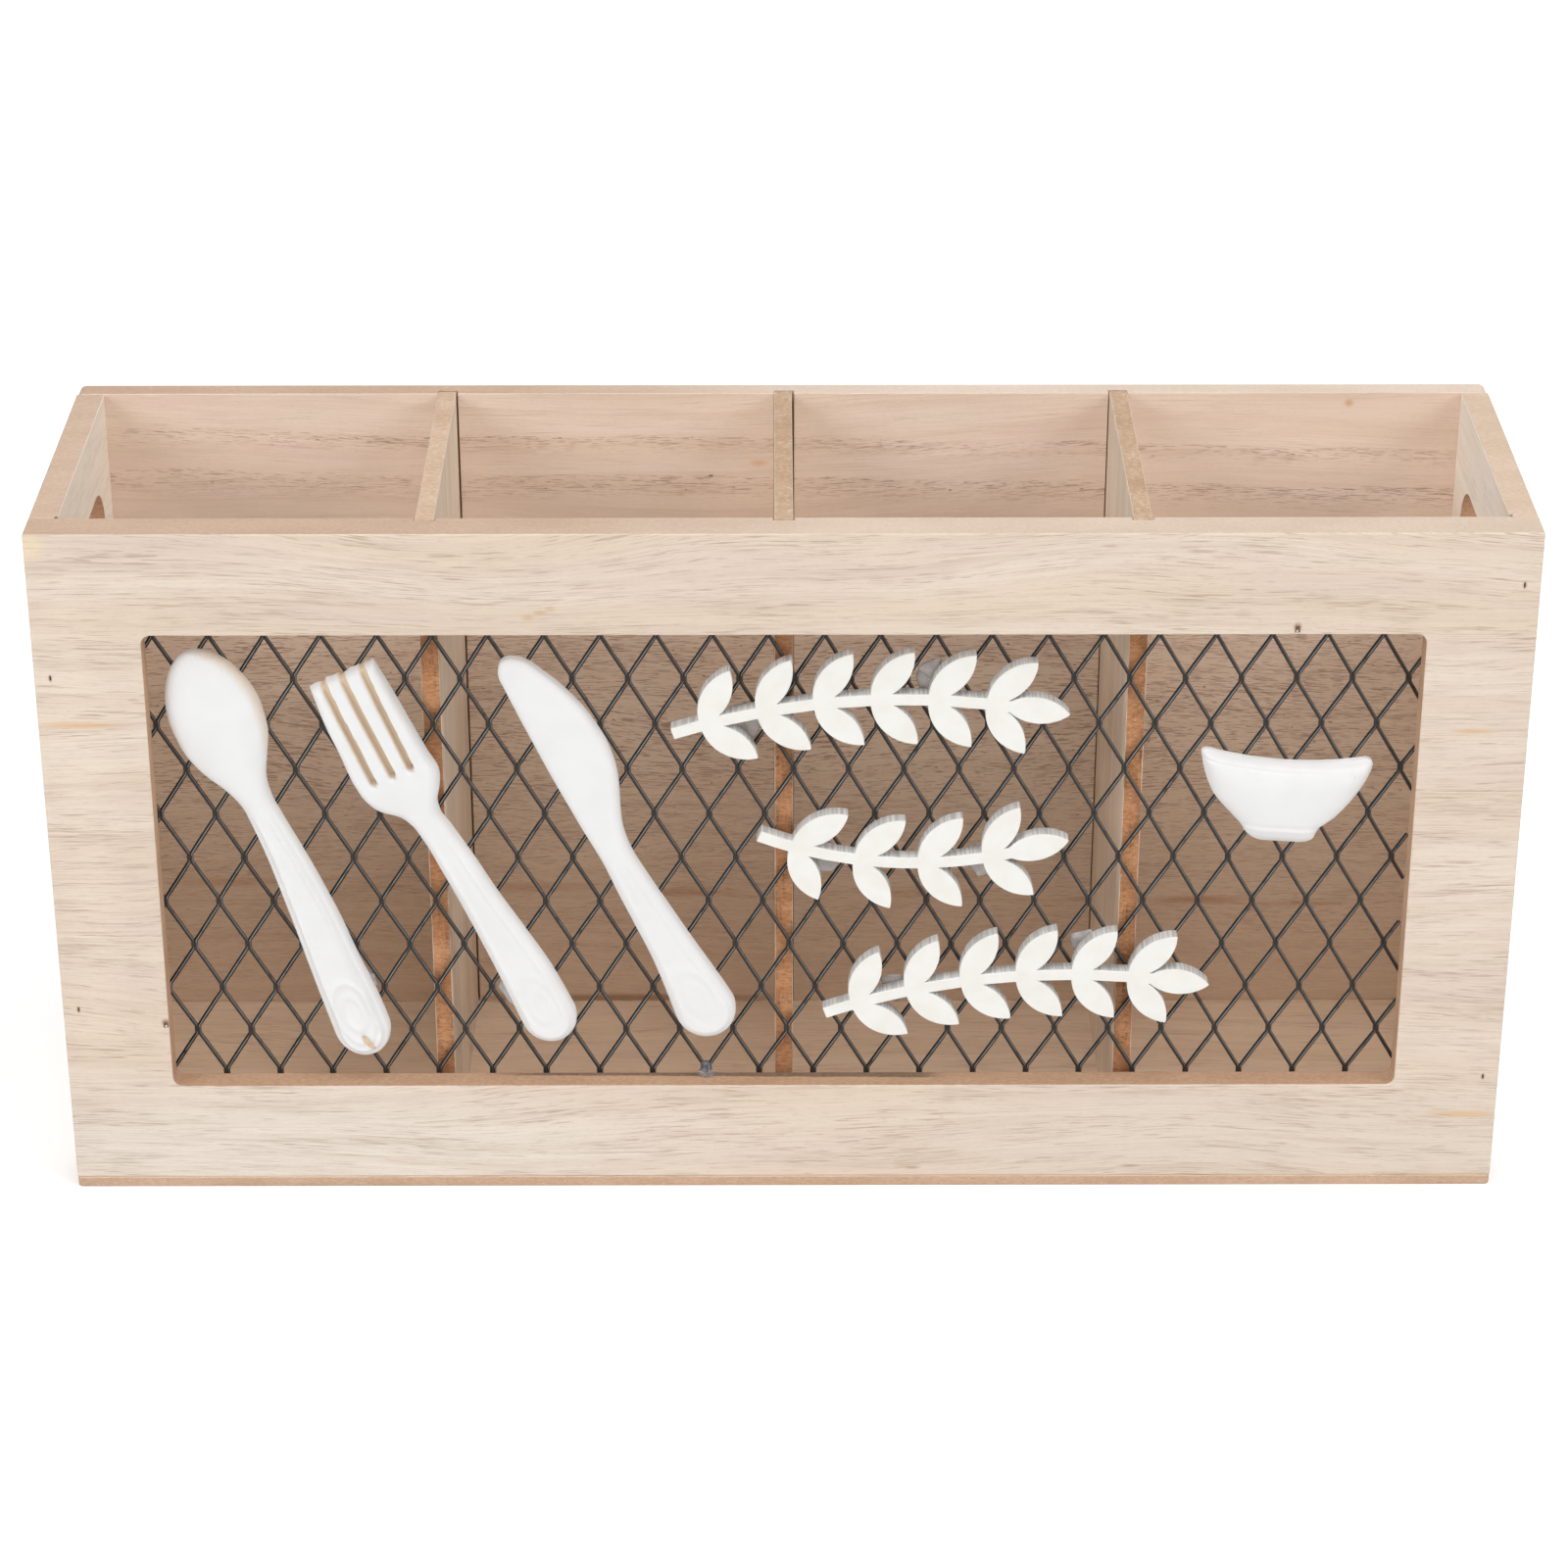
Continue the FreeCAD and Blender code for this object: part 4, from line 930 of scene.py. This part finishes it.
def carve_bowl(u, v, inside, height):
    """A thin lip under the rim, a ridge round the foot and a few scratches beside the right tip."""
    below = 24.0 - bowl_rim(np.clip(u / 21, -1, 1)) - v
    lip = 0.16 * ridge(below - 0.9, 0.5) - 0.3 * ridge(below - 2.0, 0.3) * swell(u, 12, -6)
    foot_ring = ridge(v - 3.9, 0.6) * 0.16 - ridge(v - 4.9, 0.6) * 0.16
    scratch = np.zeros_like(u)
    for place, slope in ((15.0, 0.25), (16.2, -0.5), (17.6, 0.5)):
        scratch = np.maximum(scratch, ridge(u - place - slope * (v - 20), 0.16) * ridge(v - 20, 1.3))
    return height + lip + foot_ring - scratch * 0.25, scratch * 0.5


bowl = cast_relief("bowl_cast", (121.6, 96.3), -4.0, [
    (0, -4.2, 4.8, 3.4, 4.0), (0.35, -5.6, 6.9, 3.6, 4.0), (0.95, -6.8, 8.1, 3.8, 4.2),
    (2.4, -8.5, 8.95, 4.1, 4.6), (3.85, -9.4, 9.4, 4.3, 5.0), (5.5, -11.0, 11.0, 4.5, 5.5),
    (7.2, -12.7, 12.9, 4.7, 6.0), (9.5, -15.0, 14.8, 4.8, 6.4), (11.6, -16.9, 16.2, 4.9, 6.8),
    (15.5, -19.1, 18.4, 5.0, 7.0), (18.8, -20.4, 19.8, 5.0, 7.0), (21.5, -21.1, 20.5, 5.0, 7.0),
    (22.9, -21.4, 20.5, 5.0, 7.0), (23.6, -21.2, 20.0, 5.0, 7.0), (24.0, -20.2, 18.9, 5.0, 7.0)],
    (0, 0), 1.4, carve_bowl, 70, rows=110, columns=97, crown=bowl_rim)

for piece, node in ((spoon, "spoon_relief"), (fork, "fork_relief"), (knife, "knife_relief"), (bowl, "bowl_relief")):
    piece.data.materials.append(white_resin)
    install(piece, "white_resin", node)


# Sprigs: three leaf sprigs cut by laser from sheet, with off-white faces. The cut leaves grey edges with
# fine lines through the thickness. They are glued to the mesh beside the reliefs.

cream_sheet, at = new_finish("cream_sheet")
x, y, z = at.parts()
sprig_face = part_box("upper_sprig")[0].y
cut_lines = at.noise((0.5 * MM, 30 * MM, 0.5 * MM), 1.0, 2.0)
smudges = at.noise((7 * MM, 7 * MM, 7 * MM), 2.0, 3.0)
grain = at.noise((0.6 * MM, 0.6 * MM, 0.6 * MM), 3.0, 2.0)
face = (y + smudges * (0.15 * MM)).ramp(sprig_face + 0.42 * MM, sprig_face + 0.3 * MM)
face_colour = smudges.ramp(0.35, 0.7).mixed(paint(244, 243, 238), paint(240, 238, 230))
edge_colour = cut_lines.ramp(0.3, 0.7).mixed(paint(182, 181, 179), paint(226, 225, 224))
colour = face.mixed(edge_colour, face_colour)
relief = face * grain * 0.4 + (1 - face) * cut_lines
lay_finish(at, colour, 0.32 + grain * 0.2, relief, 0.08 * MM, {})
for node in ("upper_sprig", "middle_sprig", "lower_sprig"):
    shape = bmesh.new()
    shape.from_mesh(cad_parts[node].data)
    bmesh.ops.remove_doubles(shape, verts=shape.verts, dist=0.001 * MM)
    bmesh.ops.dissolve_limit(shape, angle_limit=math.radians(2), verts=shape.verts, edges=shape.edges)
    mesh = bpy.data.meshes.new(node + "_sheet")
    shape.to_mesh(mesh)
    shape.free()
    sprig = new_piece(node + "_sheet", mesh)
    ease_edges(sprig, 0.22 * MM)
    sprig.data.materials.clear()
    sprig.data.materials.append(cream_sheet)
    install(sprig, "cream_acrylic", node)


# End panels: short boards between front and back, grain along the depth, each with a slot for the
# fingers. The slot and the top edge show the bare core, and a small chip is off each inner front corner.

END_SHADES = (paint(253, 246, 236), paint(250, 239, 225), paint(249, 236, 224), paint(224, 204, 184),
              paint(166, 140, 118))


def end_edges(x, y, z):
    """Edges of the ends: tan on top, with painted light that makes the top of the right end paler, and browner in the
    hand hole.
    """
    top = z.ramp(front_high.z - 4 * MM, front_high.z - 2 * MM)
    # Painted light: the top edge of the right end is painted paler, as a sheen from the right.
    right = x.ramp(-50 * MM, 50 * MM)
    pale = top.mixed(paint(204, 162, 130), right.mixed(paint(212, 186, 165), paint(221, 198, 177)))
    dark = top.mixed(paint(176, 134, 104), right.mixed(paint(196, 168, 146), paint(206, 181, 158)))
    return pale, dark


HOLE_LONG = 60 * MM
HOLE_HIGH = 24 * MM
HOLE_BELOW_TOP = 19 * MM
CHIP = Vector((0.8 * MM, 1.2 * MM, 2.5 * MM))
for node, name in (("left_end_panel", "left_end_board"), ("right_end_panel", "right_end_board")):
    low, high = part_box(node)
    end = new_piece(name, block(low, high))
    top = high.z - HOLE_BELOW_TOP
    outline = rounded((-HOLE_LONG / 2, top - HOLE_HIGH), (HOLE_LONG / 2, top), HOLE_HIGH / 2 - 0.01 * MM, 14)
    cut(end, [prism([(low.x - 1 * MM, y, z) for y, z in outline], (high.x - low.x + 2 * MM, 0, 0))])
    ease_edges(end, BOARD_EDGE)
    inner = min(low.x, high.x, key=abs)
    chipped = Vector((inner, low.y, high.z))
    cut(end, [block(chipped - CHIP, chipped + CHIP)])
    end.data.materials.append(board_finish(name, "YZX", (low.x, high.x), END_SHADES, 31.0 + low.x * 40,
                                           end_edges, 0.4, 0.14 * MM))
    install(end, "pale_veneer", node)


# Back panel: a thinner full-width board with three open-topped grooves for the dividers. Its inner face
# is pinker, with two flecked growth bands and a small orange knot.

back_low, back_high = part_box("back_panel")
BACK_CORNER = 1.8 * MM
corner_steps = 6
back_outline = rounded((back_low.x, back_low.z), (back_high.x, back_high.z), BACK_CORNER, corner_steps)
back_outline = back_outline[:2 * (corner_steps + 1)]
back_outline += [(back_low.x, back_low.z), (back_high.x, back_low.z)]
back = new_piece("back_board", prism([(x, back_low.y, z) for x, z in back_outline],
                                     (0, back_high.y - back_low.y, 0)))
grooves = []
TIGHT = 0.05 * MM
for name, left_room, right_room in (("left_divider", TIGHT, 0.45 * MM), ("centre_divider", TIGHT, 0.6 * MM),
                                    ("right_divider", 0.28 * MM, TIGHT)):
    low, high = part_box(name)
    grooves.append(block((low.x - left_room, back_low.y - 1 * MM, low.z - 1 * MM),
                         (high.x + right_room, high.y + 0.8 * MM, back_high.z + 1 * MM)))
cut(back, grooves)
ease_edges(back, 0.15 * MM)
BACK_BRADS = [(x, z) for x in (-BRAD_X, BRAD_X) for z in (40 * MM, 150 * MM)]
dents = []
for x, z in BACK_BRADS:
    middle = Vector((x, back_high.y, z))
    dents.append(block(middle - SLIT, middle + SLIT))
cut(back, dents)
BACK_SHADES = (paint(246, 224, 206), paint(240, 215, 195), paint(243, 216, 200), paint(220, 191, 166),
               paint(138, 90, 60))
back_washes = [(0, 55 * MM, 900 * MM, 105 * MM, paint(246, 227, 206), 0.8)]
for x, z, reach, strength in ((-150, 40.0, 24, 0.4), (-112, 38.6, 17, 0.2), (-68, 38.2, 24, 0.45), (-27, 36.8, 21, 0.5),
                              (38, 36.4, 26, 0.3), (84, 34.4, 14, 0.25), (113, 34.2, 20, 0.6), (140, 33.0, 17, 0.35)):
    back_washes.append((x * MM, z * MM, reach * MM, reach * 0.1 * MM, paint(206, 150, 110), strength))
back_marks = [(144.6 * MM, 178.2 * MM, 1.7 * MM, 1.5 * MM, paint(216, 164, 112), 0.7),
              (-43 * MM, 4 * MM, 62 * MM, 1.8 * MM, paint(150, 98, 56), 0.6),
              (-18.5 * MM, 158.3 * MM, 1.0 * MM, 0.55 * MM, paint(122, 90, 74), 0.85),
              (-6.2 * MM, 161.8 * MM, 3.2 * MM, 1.4 * MM, paint(228, 178, 138), 0.6)]
for x, z in BACK_BRADS:
    back_marks.append((x, z, 1.0 * MM, 1.8 * MM, paint(140, 106, 82), 0.6))
back_bands = [(168 * MM, -0.02, 1 * MM, 6 * MM, 0.9), (157.2 * MM, -0.018, 1 * MM, 8 * MM, 1.0),
              (120 * MM, 0, 30 * MM, 150 * MM, 1.1)]
back.data.materials.append(board_finish("back_veneer", "XZY", (back_low.y, back_high.y), BACK_SHADES, 17.0,
                                        long_edges, 0.14, 0.15 * MM, back_washes, back_marks, back_bands))
install(back, "pale_veneer", "back_panel")


# Dividers: three thin upright boards slid into the grooves of front and back, grain upright. Their sawn
# edges are coarser and more orange than those of the outer boards, and their front edges carry painted shade.

DIVIDER_SHADES = (paint(240, 226, 208), paint(232, 214, 194), paint(228, 208, 190), paint(206, 186, 164),
                  paint(164, 140, 118))
divider_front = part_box("centre_divider")[0].y


def divider_edges(x, y, z):
    """Edges of a divider: pale and fibrous on top; at the front, orange brown with dark streaks, partly the edge's own
    colour and partly painted shade.
    """
    front_end = y.ramp(divider_front + 2 * MM, divider_front + 1 * MM) * z.ramp(158 * MM, 150 * MM)
    spot = x.node("ShaderNodeCombineXYZ", {}, {"X": x, "Y": y, "Z": z})
    streaks = spot.noise((0.7 * MM, 3 * MM, 9 * MM), 5.0, 3.0).ramp(0.5, 0.72)
    tufts = spot.noise((1.2 * MM, 2.4 * MM, 1.2 * MM), 6.0, 3.0).ramp(0.45, 0.7)
    left = x.ramp(-30 * MM, -60 * MM) * 0.5
    pale_top = left.mixed(tufts.mixed(paint(200, 172, 145), paint(214, 192, 166)), paint(228, 205, 182))
    dark_top = left.mixed(paint(180, 147, 118), paint(206, 175, 148))
    # The front edge in the window: its own orange brown, darkened by painted shade.
    pale = front_end.mixed(pale_top, paint(204, 150, 108))
    dark = front_end.mixed(dark_top, streaks.mixed(paint(168, 112, 74), paint(104, 62, 38)))
    return pale, dark



for step, node in enumerate(DIVIDERS):
    low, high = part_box(node)
    divider = new_piece(node.replace("_divider", "_partition"), block(low, high))
    ease_edges(divider, 0.25 * MM)
    divider.data.materials.append(board_finish(divider.name, "ZYX", (low.x, high.x), DIVIDER_SHADES,
                                               51.0 + 7 * step, divider_edges, 0.5, 0.14 * MM))
    install(divider, "pale_veneer", node)


# Bottom board: a thin sheet of fibreboard under all four walls, veneered on its upper face, glued and
# pinned from below. It was sawn flush with the walls, and its corners are a little rounded.

bottom_low, bottom_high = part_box("bottom_panel")
bottom_outline = rounded((bottom_low.x, bottom_low.y), (bottom_high.x, bottom_high.y), 1.2 * MM)
bottom = new_piece("bottom_board", prism([(x, y, bottom_low.z) for x, y in bottom_outline],
                                         (0, 0, bottom_high.z - bottom_low.z)))
ease_edges(bottom, 0.5 * MM, 3)
LOW_SLIT = Vector((SLIT.x, SLIT.z, SLIT.y))
BOTTOM_BRADS = [(x, 0) for x in (-BRAD_X, BRAD_X)]
for y in ((front_low.y + front_high.y) / 2, (back_low.y + back_high.y) / 2):
    BOTTOM_BRADS += [(x * MM, y) for x in (-125, 0, 125)]
dents = []
for x, y in BOTTOM_BRADS:
    middle = Vector((x, y, bottom_low.z))
    dents.append(block(middle - LOW_SLIT, middle + LOW_SLIT))
cut(bottom, dents)
BOTTOM_SHADES = (paint(235, 211, 187), paint(227, 201, 175), paint(229, 203, 183), paint(210, 181, 154),
                 paint(160, 124, 95))


def bottom_edges(x, y, z):
    """Bare fibreboard: the sawn edge of the board and its underside."""
    return paint(214, 183, 158), paint(196, 163, 137)


UNVENEERED = 10 * MM
bottom_core = board_finish("bottom_core", "XYZ", (bottom_low.z - UNVENEERED, bottom_high.z), BOTTOM_SHADES, 71.0,
                           bottom_edges, 0.6, 0.3 * MM)
bottom.data.materials.append(bottom_core)
install(bottom, "fibreboard", "bottom_panel")


# Brads: thin steel pins with narrow heads, punched just below the surface. Four go through the front
# into the ends, four through the back, and eight up through the bottom board.

HEAD_WIDE = 0.4 * MM
HEAD_LONG = 1.3 * MM
SHANK = 0.4 * MM
BRAD_SET = 0.45 * MM
BRAD_LENGTH = 18 * MM
brad_shape = bmesh.new()
head = block((-HEAD_WIDE / 2, BRAD_SET, -HEAD_LONG / 2), (HEAD_WIDE / 2, BRAD_SET + 0.5 * MM, HEAD_LONG / 2))
shank = block((-SHANK / 2, BRAD_SET + 0.4 * MM, -SHANK / 2), (SHANK / 2, BRAD_LENGTH, SHANK / 2))
brad_shape.from_mesh(head)
brad_shape.from_mesh(shank)
brad = bpy.data.meshes.new("brad")
brad_shape.to_mesh(brad)
brad_shape.free()
dull_wire, at = new_finish("dull_wire")
scuffs = at.noise((0.4 * MM, 0.4 * MM, 0.4 * MM), 1.0, 3.0)
colour = scuffs.ramp(0.35, 0.7).mixed(paint(70, 60, 52), paint(112, 102, 94))
lay_finish(at, colour, 0.4 + scuffs * 0.3, scuffs, 0.03 * MM, {"Metallic": 0.8})
inward = (0, 0, 0)
outward = (0, 0, math.pi)
upward = (math.radians(90), 0, 0)
front_seats = [((x, front_low.y, z), inward) for x, z in FRONT_BRADS]
back_seats = [((x, back_high.y, z), outward) for x, z in BACK_BRADS]
bottom_seats = [((x, y, bottom_low.z), upward) for x, y in BOTTOM_BRADS]
for name, seats, node in (("front_brad_set", front_seats, "front_brads"),
                          ("back_brad_set", back_seats, "back_brads"),
                          ("bottom_brad_set", bottom_seats, "bottom_brads")):
    install(drive_pins(name, brad.copy(), seats, dull_wire), "steel_wire", node)


# Floor: a plain white sheet that the holder stands on.

floor_mesh = bpy.data.meshes.new("floor")
FLOOR = 6.0
floor_mesh.from_pydata([(-FLOOR, -FLOOR, 0), (FLOOR, -FLOOR, 0), (FLOOR, FLOOR, 0), (-FLOOR, FLOOR, 0)], [], [(0, 1, 2, 3)])
floor = new_piece("floor", floor_mesh)
white_floor, at = new_finish("white_floor")


def looked_at(start):
    """1 where the camera, a reflection or a view through glue meets a surface, and 0 where light does."""
    first = start.node("ShaderNodeLightPath", {}, {}, "Is Camera Ray")
    rays = [Socket(start.tree, first.socket.node.outputs[name]) for name in ("Is Glossy Ray", "Is Transmission Ray")]
    return first.math("MAXIMUM", rays[0]).math("MAXIMUM", rays[1])


far = at.node("ShaderNodeVectorMath", {"operation": "LENGTH"}, {0: at}, "Value").ramp(0.3, 1.1)
matte = at.node("ShaderNodeBsdfDiffuse", {}, {"Color": (0.9, 0.9, 0.9, 1)})
near_glow = at.node("ShaderNodeEmission", {}, {"Color": (1, 1, 1, 1), "Strength": 0.3})
far_glow = at.node("ShaderNodeEmission", {}, {"Color": (1, 1, 1, 1), "Strength": 1.0})
glow = at.node("ShaderNodeMixShader", {}, {0: far, 1: near_glow, 2: far_glow})
dark = at.node("ShaderNodeEmission", {}, {"Color": (0, 0, 0, 1), "Strength": 0.0})
lift = at.node("ShaderNodeMixShader", {}, {0: looked_at(at), 1: dark, 2: glow})
surface = at.node("ShaderNodeAddShader", {}, {0: matte, 1: lift})
at.node("ShaderNodeOutputMaterial", {}, {"Surface": surface})
floor_mesh.materials.append(white_floor)
floor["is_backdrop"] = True


# Light and camera: a bright, even studio with a broad soft lamp from the upper right, and a long lens
# that looks down on the holder from the front.

world = bpy.data.worlds.new("studio")
bpy.context.scene.world = world
world.use_nodes = True
world.node_tree.nodes.clear()
sky = looked_at(Socket(world.node_tree, None))
ambient = sky.node("ShaderNodeBackground", {}, {"Color": (1, 1, 1, 1), "Strength": 0.3})
white = sky.node("ShaderNodeBackground", {}, {"Color": (1, 1, 1, 1), "Strength": 1.0})
shown = sky.node("ShaderNodeMixShader", {}, {0: sky, 1: ambient, 2: white})
sky.node("ShaderNodeOutputWorld", {}, {"Surface": shown})


def add_lamp(name, place, target, size, power):
    """A square soft lamp that faces a point."""
    light = bpy.data.lights.new(name, "AREA")
    light.size = size
    light.energy = power
    lamp = new_piece(name, light)
    lamp.location = place
    lamp.rotation_euler = (Vector(target) - Vector(place)).to_track_quat("-Z", "Y").to_euler()


add_lamp("overhead", (0.1, -0.1, 1.6), (0, 0, 0.08), 1.0, 10)
add_lamp("front", (0.1, -0.85, 1.3), (0, 0, 0.08), 0.8, 1.5)
add_lamp("right", (1.3, -0.9, 1.0), (0, 0, 0.08), 0.9, 10.8)
add_lamp("left", (-1.3, -0.9, 1.0), (0, 0, 0.08), 0.9, 12)

camera_data = bpy.data.cameras.new("camera")
camera_data.sensor_width = 36
camera_data.lens = 97.82
camera = new_piece("camera", camera_data)
camera.location = (-0.0030, -0.9727, 0.5817)
camera.rotation_euler = (math.radians(63.212), 0, math.radians(-0.186))
bpy.context.scene.camera = camera
bpy.context.scene.view_settings.view_transform = "Standard"

visual_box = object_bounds()
sizes = {"cad": [list(corner) for corner in cad_box], "visual": [list(corner) for corner in visual_box]}
